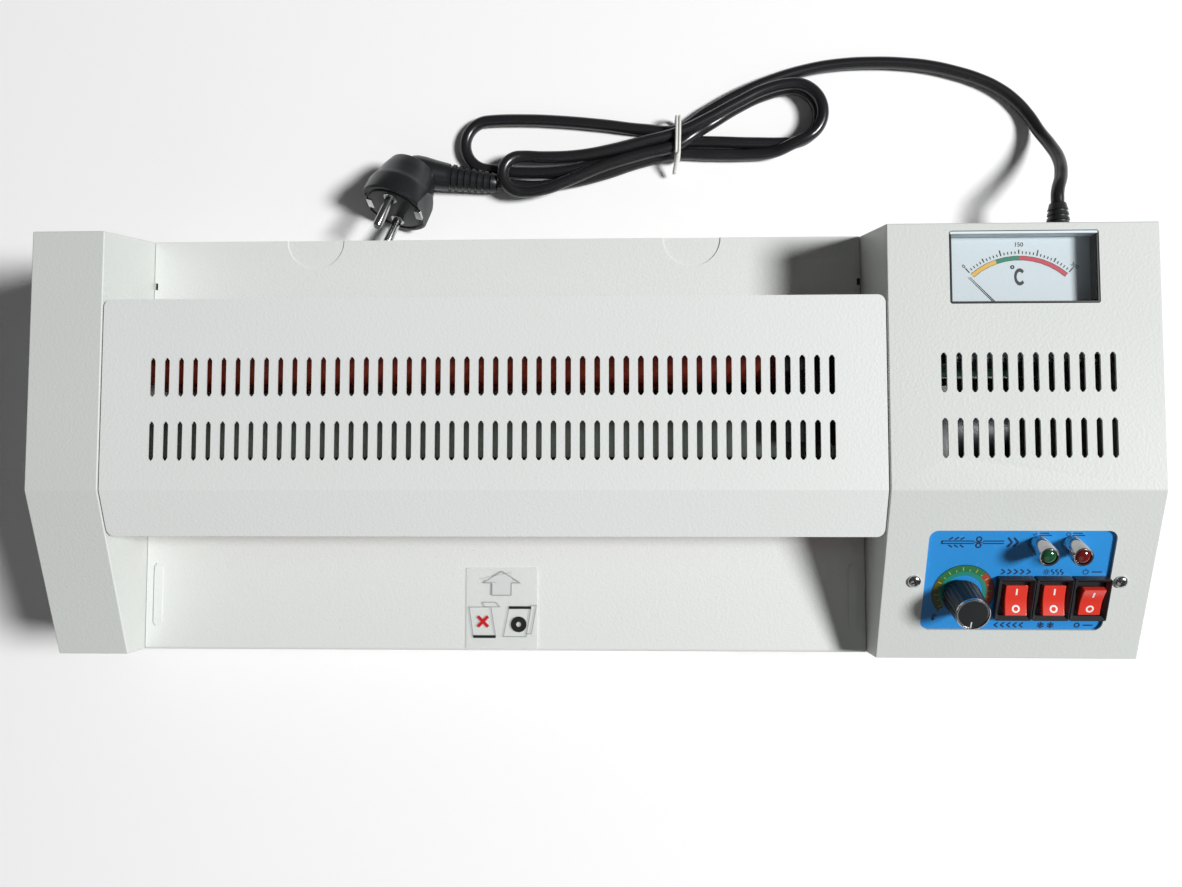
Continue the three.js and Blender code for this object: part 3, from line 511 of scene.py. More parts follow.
def lettering(name, words, size, place):
    text = bpy.data.curves.new(name, "FONT")
    text.body = words
    text.size = size
    text.align_x = "CENTER"
    text.align_y = "CENTER"
    text.extrude = 0.03
    text.resolution_u = 4
    holder = bpy.data.objects.new(name, text)
    flat = bpy.data.meshes.new_from_object(holder)
    bm = bmesh.new()
    bm.from_mesh(flat)
    bpy.data.objects.remove(holder)
    bmesh.ops.remove_doubles(bm, verts=bm.verts, dist=0.001)
    bmesh.ops.recalc_face_normals(bm, faces=bm.faces)
    placed(name, bm, place, "case", finishes["inkBlack"], smoothAngle=None)


# ---- finishes of the small pieces ----
def inkFinish(name, colour, roughness=0.4):
    return makeFinish(name, colour, grainSize=0.0006, bump=0.05, depth=0.00003, roughness=roughness,
                      roughRange=0.1, drift=0.25)


finishes.update({
    "panelBlue": makeFinish("panelBlue", (0.022, 0.255, 0.640), (0.016, 0.215, 0.580), grainSize=0.0005,
                            bump=0.05, depth=0.00004, roughness=0.33, roughRange=0.12, drift=0.5, specks=0.12,
                            speckColour=(0.30, 0.55, 0.80)),
    "inkNavy": inkFinish("inkNavy", (0.010, 0.028, 0.085)),
    "inkBlack": inkFinish("inkBlack", (0.012, 0.012, 0.013)),
    "inkGrey": inkFinish("inkGrey", (0.30, 0.32, 0.33)),
    "inkPale": inkFinish("inkPale", (0.62, 0.64, 0.63)),
    "inkWhite": inkFinish("inkWhite", (0.80, 0.79, 0.77)),
    "inkRed": inkFinish("inkRed", (0.60, 0.045, 0.075)),
    "inkSignRed": inkFinish("inkSignRed", (0.55, 0.01, 0.012)),
    "inkYellow": inkFinish("inkYellow", (0.82, 0.50, 0.085)),
    "inkGreen": inkFinish("inkGreen", (0.008, 0.235, 0.130)),
    "scaleTeal": inkFinish("scaleTeal", (0.012, 0.22, 0.17)),
    "scaleGreen": inkFinish("scaleGreen", (0.02, 0.15, 0.055)),
    # Yellow-green print painted dark as a painted shadow of the knob falling on it.
    "scaleShadowedYellowGreen": inkFinish("scaleShadowedYellowGreen", (0.075, 0.085, 0.012)),
    "scaleLime": inkFinish("scaleLime", (0.32, 0.42, 0.06)),
    "scaleRed": inkFinish("scaleRed", (0.33, 0.045, 0.025)),
    "rockerRed": makeFinish("rockerRed", (0.72, 0.040, 0.022), (0.62, 0.030, 0.018), grainSize=0.0004,
                            bump=0.04, depth=0.00003, roughness=0.22, roughRange=0.14, drift=0.4,
                            Coat_Weight=0.25, Coat_Roughness=0.12),
    "lensGreen": makeFinish("lensGreen", (0.010, 0.075, 0.030), (0.006, 0.050, 0.020), grainSize=0.0006,
                            bump=0.03, depth=0.00003, roughness=0.08, roughRange=0.05, Coat_Weight=0.6,
                            Coat_Roughness=0.05),
    "lensRed": makeFinish("lensRed", (0.130, 0.008, 0.006), (0.090, 0.005, 0.004), grainSize=0.0006,
                          bump=0.03, depth=0.00003, roughness=0.08, roughRange=0.05, Coat_Weight=0.6,
                          Coat_Roughness=0.05),
    "knobBlack": makeFinish("knobBlack", (0.011, 0.012, 0.013), (0.020, 0.021, 0.023), grainSize=0.0004,
                            bump=0.10, depth=0.00005, roughness=0.30, roughRange=0.16, drift=0.5),
    "dialCard": makeFinish("dialCard", (0.665, 0.760, 0.800), (0.625, 0.725, 0.770), grainSize=0.0005,
                           bump=0.03, depth=0.00002, roughness=0.5, roughRange=0.08, drift=0.4),
    "plugRubber": makeFinish("plugRubber", (0.010, 0.011, 0.012), (0.020, 0.022, 0.024), grainSize=0.0005,
                             bump=0.10, depth=0.00006, roughness=0.30, roughRange=0.16, drift=0.5),
    "tieVinyl": makeFinish("tieVinyl", (0.70, 0.70, 0.68), (0.60, 0.60, 0.57), grainSize=0.0005, bump=0.06,
                           depth=0.00004, roughness=0.35, roughRange=0.1),
    "clearFilm": makeFinish("clearFilm", (0.90, 0.92, 0.90), grainSize=0.004, bump=0.10, depth=0.00005,
                            roughness=0.10, roughRange=0.1, Alpha=0.22),
    "clearAcrylic": makeFinish("clearAcrylic", (0.20, 0.22, 0.23), grainSize=0.004, bump=0.02, depth=0.00003,
                               roughness=0.04, roughRange=0.04, Alpha=0.06),
})
print("small finishes made")


# ---- machine parts that keep their CAD shape, softened at the edges ----
def softened(name, node, body, material, width=0.3):
    bm = mergedCopy(node)
    piece = pieceFromBmesh(name, bm, body, material, smoothAngle=None)
    piece.data.shade_smooth()
    addBevel(piece, width * mm)
    addFlatNormals(piece)
    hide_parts(node)
    return piece


rollerSizes = {"endChamfer": 0.8, "shaftChamfer": 0.5}
rollerNames = ["front_lower", "front_upper", "rear_lower", "rear_upper"]


# A turned bar along X that fills a node's box, hollow where bore is given.
def turnedAlongX(name, node, body, material, chamfer, bore=0.0):
    low, high = (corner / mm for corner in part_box(node))
    length, radius = high.x - low.x, (high.y - low.y) / 2
    profile = [(bore, 0), (radius - chamfer, 0), (radius, chamfer), (radius, length - chamfer),
               (radius - chamfer, length), (bore, length)]
    if bore:
        profile.append(profile[0])
    bm = turned(profile, steps=64)
    place = Matrix.Translation((low.x * mm, (low.y + high.y) / 2 * mm, (low.z + high.z) / 2 * mm))
    piece = placed(name, bm, place @ Matrix.Rotation(math.pi / 2, 4, "Y"), body, material)
    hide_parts(node)
    return piece


def makeRollers():
    shaftRadius = (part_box("shaft_front_lower")[1].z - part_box("shaft_front_lower")[0].z) / 2 / mm
    for name in rollerNames:
        turnedAlongX("roller-" + name, "roller_" + name, name, finishes["silicone"],
                     rollerSizes["endChamfer"], shaftRadius + 0.3)
        turnedAlongX("shaft-" + name, "shaft_" + name, name, finishes["steel"],
                     rollerSizes["shaftChamfer"])
        softened("gear-" + name, "gear_" + name, name, finishes["nylon"], 0.25)
    softened("gear-drive", "drive_gear", "drive", finishes["nylon"], 0.25)


def makeInnards():
    plain = {
        "side_frame_left": ("frame_steel", "steel"), "side_frame_right": ("frame_steel", "steel"),
        "board_bracket": ("frame_steel", "steel"), "bearing_block_left": ("bearing_plastic", "blackPlastic"),
        "bearing_block_right": ("bearing_plastic", "blackPlastic"), "gear_motor": ("motor_metal", "steel"),
        "heater_upper": ("heater_metal", "heaterMetal"), "heater_lower": ("heater_metal", "heaterMetal"),
        "thermostat_bracket": ("black_plastic", "blackPlastic"), "potentiometer": ("motor_metal", "steel"),
        "circuit_board": ("board_green", "boardGreen"),
    }
    for node, (slot, finish) in plain.items():
        softened(node.replace("_", "-"), node, "case", finishes[finish])
    softened("potentiometer-shaft", "potentiometer_shaft", "knob", finishes["steel"])


makeRollers()
makeInnards()
print("rollers, drive and heaters made")

# ---- clear label on the front tray ----
labelSizes = {"centre": (-41.9, -80.3), "size": (34.8, 39.2), "radius": 1.0, "film": 0.12, "lift": 0.02,
              "secondInk": 0.08, "arrow": (-0.5, 12.3), "arrowHalf": 9.0, "stemHalf": 4.65, "stemFoot": 6.4}


# The outline of a leaning sheet, from its bottom and top edges' ends and its two heights.
def markSheet(bm, bottom, top, heights):
    corners = [(bottom[0], heights[0]), (bottom[1], heights[0]), (top[1], heights[1]), (top[0], heights[1])]
    for i in range(4):
        markBar(bm, corners[i], corners[(i + 1) % 4], 0.35)


def makeLabel():
    s = labelSizes
    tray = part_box("front_tray")
    place = Matrix.Translation((s["centre"][0] * mm, s["centre"][1] * mm, tray[1].z + s["lift"] * mm))
    film = bmesh.new()
    sheet = Matrix.Diagonal((*s["size"], 1, 1))
    bmesh.ops.create_grid(film, x_segments=1, y_segments=1, size=0.5, matrix=sheet)
    bmesh.ops.bevel(film, geom=film.verts[:], offset=s["radius"], affect="VERTICES", segments=4, profile=0.5,
                    material=-1)
    printed("labelFilm", film, place, finishes["clearFilm"], height=s["film"])
    ink = place @ Matrix.Translation((0, 0, s["film"] * mm))
    secondInk = ink @ Matrix.Translation((0, 0, s["secondInk"] * mm))

    (x, neck), half, stem, foot = s["arrow"], s["arrowHalf"], s["stemHalf"], s["stemFoot"]
    arrow = bmesh.new()
    markBar(arrow, (x, foot), (x, neck + 0.1), 2 * stem)
    markHead(arrow, (x, neck), half, 5.6)
    printed("labelArrow", arrow, ink, finishes["inkPale"])
    arrowEdge = bmesh.new()
    for side in (-1, 1):
        tip, inner = x + side * half, x + side * stem
        markBar(arrowEdge, (tip, neck), (x, neck + 5.6), 0.45)
        markBar(arrowEdge, (tip, neck), (inner, neck), 0.45)
        markBar(arrowEdge, (inner, foot), (inner, neck), 0.45)
    markBar(arrowEdge, (x - stem, foot), (x + stem, foot), 0.45)
    printed("labelArrowEdge", arrowEdge, secondInk, finishes["inkGrey"])

    sheets = bmesh.new()
    markSheet(sheets, (-14.0, -3.2), (-16.1, -5.6), (-13.4, 0.7))
    markSheet(sheets, (-8.6, -1.2), (-9.8, -3.2), (0.8, 3.0))
    markSheet(sheets, (0.5, 11.5), (3.2, 13.8), (-13.4, 0.5))
    markSheet(sheets, (11.6, 14.0), (13.9, 16.4), (-12.0, 1.6))
    printed("labelSheets", sheets, ink, finishes["inkGrey"])

    bars = bmesh.new()
    markBar(bars, (-14.0, -13.4), (-3.2, -13.4), 1.3)
    markBar(bars, (3.2, 0.5), (13.8, 0.5), 1.3)
    markRing(bars, (7.9, -7.5), 1.2, 3.75)
    printed("labelBars", bars, secondInk, finishes["inkBlack"])
    cross = bmesh.new()
    markBar(cross, (-11.9, -8.7), (-6.9, -3.7), 1.5)
    markBar(cross, (-11.9, -3.7), (-6.9, -8.7), 1.5)
    printed("labelCross", cross, ink, finishes["inkSignRed"])


makeLabel()
print("label stuck on")

# ---- control panel and its printing ----
panelSizes = {"inkLift": 0.03, "depth": 1.5, "scaleInner": 8.6, "scaleStep": 10.5, "scaleOuter": 13.6,
              "scaleShift": (1.05, 1.0), "markAbove": 12.2, "markBelow": -14.5}


def panelPlace(node, across=0.0, along=0.0, lift=0.0):
    return (onSlope(node, (panelSizes["inkLift"] + lift - panelSizes["depth"]) * mm)
            @ Matrix.Translation((across * mm, along * mm, 0)))


def chevronRow(bm, y, direction):
    for x in (-5.6, -2.8, 0, 2.8, 5.6):
        tip = (x + 0.8 * direction, y)
        markBar(bm, (x - 0.8 * direction, y + 1.2), tip, 0.62)
        markBar(bm, (x - 0.8 * direction, y - 1.2), tip, 0.62)


def waveRow(bm, xs, y):
    for x in xs:
        markRing(bm, (x, y + 0.6), 0.4, 0.8, 90, 180)
        markRing(bm, (x, y - 0.6), 0.4, 0.8, -90, 180)


def sunMark(bm, x, y):
    centre = Vector((x, y))
    markRing(bm, centre, 0.45, 0.8)
    for i in range(8):
        spoke = spokeAt(45 * i)
        markBar(bm, centre + spoke * 1.05, centre + spoke * 1.55, 0.28)


def flakeMark(bm, x, y):
    centre = Vector((x, y))
    for i in range(6):
        spoke, across = spokeAt(30 + 60 * i), spokeAt(120 + 60 * i)
        markBar(bm, centre, centre + spoke * 1.55, 0.26)
        for side in (-1, 1):
            markBar(bm, centre + spoke * 0.85, centre + spoke * 1.3 + across * 0.4 * side, 0.22)


def powerMark(bm, x, y, size):
    markRing(bm, (x, y), 0.72 * size, size, start=125, sweep=290)
    markBar(bm, (x, y + 0.35 * size), (x, y + 1.25 * size), 0.28 * size)


def tickMark(bm, x, y, size):
    markBar(bm, (x - 0.9 * size, y + 0.1 * size), (x - 0.2 * size, y - 0.6 * size), 0.32 * size)
    markBar(bm, (x - 0.32 * size, y - 0.6 * size), (x + size, y + 0.8 * size), 0.32 * size)


# A pouch between two rollers, in place of the word on the real panel.
def pouchMark(bm):
    markRing(bm, (0, 1.5), 0.75, 1.35)
    markRing(bm, (0, -1.5), 0.75, 1.35)
    for y in (-0.6, 0.6):
        markBar(bm, (-16, y), (-2, y), 0.5)
        markBar(bm, (2, y), (11, y), 0.5)
    markBar(bm, (-16, -0.85), (-16, 0.85), 0.6)
    markBar(bm, (-1.9, 0), (1.9, 0), 0.4)
    for x in (-13, -10.5, -8):
        markBar(bm, (x, 1.3), (x + 1.6, 2.4), 0.55)
        markBar(bm, (x, -1.3), (x + 1.6, -2.4), 0.55)
    for x in (12.6, 15.2):
        markBar(bm, (x, 2.2), (x + 1.9, 0), 0.8)
        markBar(bm, (x, -2.2), (x + 1.9, 0), 0.8)


def panelInk(name, bm, node, across=0.0, along=0.0):
    printed("panel" + name, bm, panelPlace(node, across, along), finishes["inkNavy"])


def makePanel():
    s = panelSizes
    softened("controlPanel", "control_panel", "case", finishes["panelBlue"], 0.15)
    ink = bmesh.new()
    pouchMark(ink)
    panelInk("PouchMark", ink, "control_panel", -18.4, 18.4)
    for name in ("ready", "power"):
        ink = bmesh.new()
        (tickMark if name == "ready" else powerMark)(ink, -2.6, 0, 0.95)
        for y in (-0.55, 0.45):
            markBar(ink, (-0.6, y), (4.6 if y < 0 else 3.4, y), 0.5)
        panelInk("Mark-" + name, ink, "lamp_bezel_" + name, 0.6, 5.1)
    above, below = s["markAbove"], s["markBelow"]
    for number in (1, 2, 3):
        ink = bmesh.new()
        if number == 1:
            chevronRow(ink, above, 1)
            chevronRow(ink, below, -1)
        elif number == 2:
            sunMark(ink, -3.2, above)
            waveRow(ink, (-0.4, 1.6, 3.6), above)
            flakeMark(ink, -2.2, below)
            flakeMark(ink, 2.2, below)
        else:
            powerMark(ink, -2.6, above, 1.3)
            markBar(ink, (0.2, above), (4.4, above), 0.6)
            markRing(ink, (-2.6, below), 0.75, 1.3)
            markBar(ink, (0.2, below), (4.4, below), 0.6)
        panelInk("Mark-switch-" + str(number), ink, "switch_body_" + str(number))
    ink = bmesh.new()
    markRing(ink, (0, -1.1), 0, 0.8)
    markBar(ink, (0, -1.0), (0, 1.5), 0.55)
    for step in range(3):
        markBar(ink, (0.6, 0.1 + 0.55 * step), (1.3, 0.1 + 0.55 * step), 0.2)
    panelInk("Mark-heat", ink, "knob", -11.0, -11.2)


# The temperature scale: a teal ring inside a band that runs from olive through green to red; the olive part
# is yellow-green print darkened with a painted shadow of the knob.
def makeScale():
    s = panelSizes
    bands = {"scaleTeal": (s["scaleInner"], s["scaleStep"] - 0.02, 215, -250),
             "scaleShadowedYellowGreen": (s["scaleStep"], s["scaleOuter"], 222, -74.8),
             "scaleGreen": (s["scaleStep"], s["scaleOuter"], 147, -99.8),
             "scaleRed": (s["scaleStep"], s["scaleOuter"], 47, -85)}
    centre = panelPlace("knob", *s["scaleShift"])
    for finish, (inner, outer, start, sweep) in bands.items():
        band = bmesh.new()
        markRing(band, (0, 0), inner, outer, start, sweep)
        printed("knobScale-" + finish, band, centre, finishes[finish])
    rim = bmesh.new()
    markRing(rim, (0, 0), s["scaleOuter"], s["scaleOuter"] + 0.3, 222, -262)
    rimPlace = panelPlace("knob", *s["scaleShift"], lift=0.01)
    printed("knobScale-rim", rim, rimPlace, finishes["inkNavy"])
    ticks = bmesh.new()
    for step in range(17):
        spoke = spokeAt(215 - step * 15)
        reach = 12.7 if step % 2 == 0 else 11.8
        markBar(ticks, spoke * 10.9, spoke * reach, 0.42)
    tickPlace = panelPlace("knob", *s["scaleShift"], lift=0.06)
    printed("knobScale-ticks", ticks, tickPlace, finishes["scaleLime"])


makePanel()
makeScale()
print("panel printed")

# ---- knob ----
knobSizes = {"bottom": 8.5, "top": 7.5, "height": 17.0, "cap": 1.6, "flutes": 24, "fluteDepth": 0.28,
             "ring": 0.55, "dish": 0.5, "pointer": -94}


def makeKnob():
    s = knobSizes
    skirt = s["height"] - s["cap"]
    slim = s["bottom"] + (s["top"] - s["bottom"]) * skirt / s["height"]
    profile = [(0, 0.3), (s["bottom"] - 0.6, 0.3), (s["bottom"] - 0.15, 0.6), (s["bottom"] - 0.1, 1.6),
               (s["bottom"] - 0.25, 1.9), (slim, skirt - 0.2), (slim - 0.1, skirt), (s["top"] - 1.2, skirt),
               (s["top"] - 1.2, s["height"] - s["dish"]), (0, s["height"] - s["dish"] - 0.25)]
    bm = turned(profile, steps=s["flutes"] * 4)
    fluted = [v for v in bm.verts if 1.75 < v.co.z < skirt - 0.1 and v.co.xy.length > s["top"] - 0.9]
    for vert in fluted:
        wave = math.cos(s["flutes"] * math.atan2(vert.co.y, vert.co.x))
        vert.co.xy *= 1 - s["fluteDepth"] * max(0.0, wave) / s["bottom"]
    placed("knobGrip", bm, onSlope("knob"), "knob", finishes["knobBlack"])
    top, rim, floor = s["height"], s["top"], s["height"] - s["dish"]
    inner = rim - s["ring"]
    ring = turned([(rim - 1.15, skirt + 0.05), (rim - 0.25, skirt + 0.05), (rim - 0.05, skirt + 0.3),
                   (rim - 0.15, top - 0.2), (rim - 0.4, top), (inner - 0.15, top), (inner - 0.3, top - 0.3),
                   (inner - 0.3, floor - 0.2), (rim - 1.15, floor - 0.2), (rim - 1.15, skirt + 0.05)],
                  steps=64)
    placed("knobRing", ring, onSlope("knob"), "knob", finishes["chrome"])
    pointer = bmesh.new()
    spoke = spokeAt(s["pointer"])
    markBar(pointer, spoke * 3.8, spoke * (inner - 0.45), 0.55)
    printed("knobPointer", pointer, onSlope("knob", (floor - 0.08) * mm), finishes["inkPale"],
            body="knob", height=0.12)
    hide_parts("knob")


makeKnob()

# ---- pilot lamps ----
lampSizes = {"radius": 4.5, "lip": 0.7, "height": 11.3, "sunk": 1.2, "lens": 3.2, "dome": 1.6, "seat": 1.15}


def makeLamp(name, finish):
    s = lampSizes
    top, r, lip = s["height"], s["radius"], s["radius"] - s["lip"]
    shell = turned([(0, -s["sunk"]), (r, -s["sunk"]), (r, top - 1.3), (r - 0.12, top - 1.1),
                    (r - 0.12, top - 0.5), (r - 0.35, top - 0.1), (lip, top), (lip - 0.35, top - 0.35),
                    (lip - 0.4, top - 2.4), (0, top - 2.6)], steps=56)
    place = onSlope("lamp_bezel_" + name)
    bezel = placed("lampBezel-" + name, shell, place, "case", finishes["chrome"])
    dome = bmesh.new()
    bmesh.ops.create_uvsphere(dome, u_segments=40, v_segments=20, radius=s["lens"])
    cutAway(dome, (0, 0, 0), (0, 0, -1))
    dome.transform(Matrix.Diagonal((1, 1, s["dome"] / s["lens"], 1)))
    seat = onSlope("lamp_bezel_" + name, (top - s["seat"]) * mm)
    lens = placed("lampLens-" + name, dome, seat, "case", finishes["lens" + finish])
    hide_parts("lamp_bezel_" + name)
    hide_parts("lamp_lens_" + name)


makeLamp("ready", "Green")
makeLamp("power", "Red")
print("knob and lamps made")

# ---- rocker switches ----
switchSizes = {"frame": (16.1, 20.6), "top": 2.4, "sunk": 1.2, "corner": 0.8, "rim": 0.55, "slope": 2.1,
               "slopeDrop": 1.5, "pocket": 3.0, "body": (12.6, 17.2, 11.6), "bodyMiddle": -8.0,
               "terminal": (0.8, 4.0, 5.6), "terminalMiddle": -11.2, "rocker": (9.8, 14.0), "ridge": 1.5,
               "sweep": 1.05, "hollow": 1.6, "steps": 9, "restTilt": (-11, -11, 11), "markAway": 3.9,
               "markHeight": 1.93, "markTurn": 0.165}


def makeSwitchFrame(number):
    s = switchSizes
    node = "switch_body_" + str(number)
    bm = bmesh.new()
    addBlock(bm, (*s["frame"], s["top"] + s["sunk"]), (0, 0, (s["top"] - s["sunk"]) / 2))
    lid = [face for face in bm.faces if face.normal.z > 0.9]
    bmesh.ops.inset_region(bm, faces=lid, thickness=s["rim"], depth=0)
    bmesh.ops.inset_region(bm, faces=lid, thickness=s["slope"], depth=-s["slopeDrop"])
    pocket = bmesh.ops.extrude_face_region(bm, geom=lid)["geom"]
    floor = [part for part in pocket if isinstance(part, bmesh.types.BMVert)]
    bmesh.ops.translate(bm, verts=floor, vec=(0, 0, -s["pocket"]))
    bmesh.ops.delete(bm, geom=lid, context="FACES")
    bmesh.ops.recalc_face_normals(bm, faces=bm.faces)
    corners = [edge for edge in bm.edges if rise(edge) > s["top"]
               and abs(edge.verts[0].co.x) > s["frame"][0] / 2 - 0.1]
    roundEdges(bm, corners, s["corner"], 3)
    black = finishes["blackPlastic"]
    frameCase = placed("switchFrame-" + str(number), bm, onSlope(node), "case", black,
                       bevel=0.15)
    body = bmesh.new()
    addBlock(body, s["body"], (0, 0, s["bodyMiddle"]))
    for x in (-3.2, 3.2):
        for y in (-5, 0, 5):
            addBlock(body, s["terminal"], (x, y, s["terminalMiddle"]))
    placed("switchBody-" + str(number), body, onSlope(node), "case", black, bevel=0.2)
    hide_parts(node)


# The rocker's side outline is extruded across, with a slightly hollow face on each side of its ridge.
def makeRocker(number):
    s = switchSizes
    name = "rocker_" + str(number)
    pivot = Vector(joints[name + "_tilt"]["pos_m"])
    tilt = math.radians(s["restTilt"][number - 1])
    place = Matrix.Translation(pivot) @ slopeTurn @ Matrix.Rotation(tilt, 4, "X")
    half, width = s["rocker"][1] / 2, s["rocker"][0]
    outline = []
    for i in range(2 * s["steps"] + 1):
        y = -half + half * i / s["steps"]
        outline.append((y, s["ridge"] + s["sweep"] * (abs(y) / half) ** s["hollow"]))
    outline += [(half - 0.3, -0.6), (half * 0.6, -3.0), (-half * 0.6, -3.0), (-half + 0.3, -0.6)]
    bm = bmesh.new()
    side = bm.faces.new([bm.verts.new((-width / 2, y, z)) for y, z in outline])
    extrude(bm, [side], (width, 0, 0))
    rocker = placed("rocker-" + str(number), bm, place, name, finishes["rockerRed"], bevel=0.45)
    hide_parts(name)
    upper, lower = bmesh.new(), bmesh.new()
    markBar(upper, (0, -1.5), (0, 1.5), 0.75)
    markRing(lower, (0, 0), 1.0, 1.75)
    for sign, bm, label in ((1, upper, "on"), (-1, lower, "off")):
        seat = (Matrix.Translation((0, sign * s["markAway"] * mm, s["markHeight"] * mm))
                @ Matrix.Rotation(sign * s["markTurn"], 4, "X"))
        printed("rockerMark-" + label + "-" + str(number), bm, place @ seat, finishes["inkWhite"],
                body=name, height=0.08)


for number in (1, 2, 3):
    makeSwitchFrame(number)
    makeRocker(number)
print("switches made")

# ---- screws ----
screwSizes = {"head": 2.9, "height": 1.5, "cross": 0.75, "crossReach": 1.7}


def screwHead(scale=1.0):
    s = screwSizes
    r, h = s["head"] * scale, s["height"] * scale
    return turned([(0, -0.2), (r, -0.2), (r, 0.25 * h), (0.93 * r, 0.55 * h), (0.72 * r, 0.83 * h),
                   (0.42 * r, h), (0, h)], steps=40)


def makeScrew(name, place, node=None, scale=1.0):
    s = screwSizes
    piece = placed(name, screwHead(scale), place, "case", finishes["chrome"])
    cross = bmesh.new()
    reach, width = s["crossReach"] * scale, s["cross"] * scale
    markBar(cross, (-reach, 0), (reach, 0), width)
    markBar(cross, (0, -reach), (0, reach), width)
    lift = Matrix.Translation((0, 0, (s["height"] * scale - 0.12) * mm))
    printed(name + "-cross", cross, place @ lift, finishes["inkBlack"], height=0.16)
    if node:
        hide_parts(node)


makeScrew("panelScrew-1", onSlope("panel_screw_1", 0.2 * mm, 20), "panel_screw_1")
makeScrew("panelScrew-2", onSlope("panel_screw_2", 0.2 * mm, 62), "panel_screw_2")

# ---- temperature meter ----
meterSizes = {"wall": 1.1, "arc": 31.1, "band": 1.9, "start": 41.5, "yellow": 22.6, "green": 19.0,
              "ink": 0.06, "edge": 0.9, "flap": 1.9, "needle": (-4, 31.5), "needleRest": 44.3, "rimDrop": 0.6}


def makeMeter():
    s = meterSizes
    softened("meterCase", "meter_case", "case", finishes["blackPlastic"], 0.2)
    softened("meterDial", "meter_dial", "case", finishes["dialCard"], 0.1)
    low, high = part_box("meter_dial")
    dialTop = high.z
    flap = bmesh.new()
    addBlock(flap, ((high.x - low.x) / mm - 1, 0.2, s["flap"]), (0, -0.2, s["flap"] / 2))
    flapPlace = Matrix.Translation(((low.x + high.x) / 2, high.y, dialTop))
    placed("meterDialFlap", flap, flapPlace, "case", finishes["dialCard"])
    pivot = Vector(joints["needle_swing"]["pos_m"])
    face = Matrix.Translation((pivot.x, pivot.y, dialTop + 0.02 * mm))
    inner, outer = s["arc"] - s["band"] / 2, s["arc"] + s["band"] / 2
    begin, full = 90 + s["start"], 2 * s["start"]
    bands = {"inkYellow": (begin, s["yellow"]), "inkGreen": (begin - s["yellow"], s["green"]),
             "inkRed": (begin - s["yellow"] - s["green"], full - s["yellow"] - s["green"])}
    for finish, (start, sweep) in bands.items():
        band = bmesh.new()
        markRing(band, (0, 0), inner, outer, start, -sweep)
        printed("dialBand-" + finish, band, face, finishes[finish])
    edges = bmesh.new()
    for radius in (inner, outer):
        markRing(edges, (0, 0), radius - 0.08, radius + 0.08, begin, -full)
    for step in range(31):
        spoke = spokeAt(begin - full * step / 30)
        reach, width = {0: (2.6, 0.42), 5: (1.9, 0.42)}.get(step % 10, (1.2, 0.32))
        markBar(edges, spoke * (outer + 0.9), spoke * (outer + 0.9 + reach), width)
    ink = face @ Matrix.Translation((0, 0, s["ink"] * mm))
    printed("dialTicks", edges, ink, finishes["inkBlack"])
    numbers = {"0": (begin, 2.5, 4.6), "150": (90, 2.7, 5.0), "300": (begin - full, 2.5, 4.6)}
    for words, (angle, size, away) in numbers.items():
        turn = Matrix.Rotation(math.radians((angle - 90) * 0.9), 4, "Z")
        spot = Matrix.Translation(spokeAt(angle).to_3d() * (outer + away) * mm)
        lettering("dialNumber-" + words, words, size, ink @ spot @ turn)
    unit = ink @ Matrix.Translation((0.2 * mm, 22.6 * mm, 0))
    letter = bmesh.new()
    markRing(letter, (0, 0), 1.85, 3.1, 42, 276)
    letter.transform(Matrix.Diagonal((0.78, 1.24, 1, 1)))
    printed("dialUnit", letter, unit, finishes["inkBlack"])
    degree = bmesh.new()
    markRing(degree, (-3.2, 4.4), 0.35, 0.9)
    printed("dialDegree", degree, unit, finishes["inkBlack"])


def makeNeedle():
    s = meterSizes
    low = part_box("meter_needle")[0]
    tail, tip = s["needle"]
    pivot = Vector(joints["needle_swing"]["pos_m"])
    bm = bmesh.new()
    bmesh.ops.create_cone(bm, cap_ends=True, segments=8, radius1=0.40, radius2=0.14, depth=tip - tail)
    ends = bm.verts[:]
    bmesh.ops.rotate(bm, verts=ends, matrix=Matrix.Rotation(-math.pi / 2, 3, "X"))
    bmesh.ops.translate(bm, verts=ends, vec=(0, (tip + tail) / 2, 0))
    bmesh.ops.scale(bm, verts=ends, vec=(1, 1, 0.45))
    hub = bmesh.ops.create_cone(bm, cap_ends=True, segments=32, radius1=2.2, radius2=2.0, depth=0.8)["verts"]
    bmesh.ops.translate(bm, verts=hub, vec=(0, 0, 0.15))
    turn = Matrix.Rotation(math.radians(s["needleRest"]), 4, "Z")
    place = Matrix.Translation((pivot.x, pivot.y, low.z + 0.35 * mm)) @ turn
    needle = placed("meterNeedle", bm, place, "needle", finishes["inkBlack"])
    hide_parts("meter_needle")
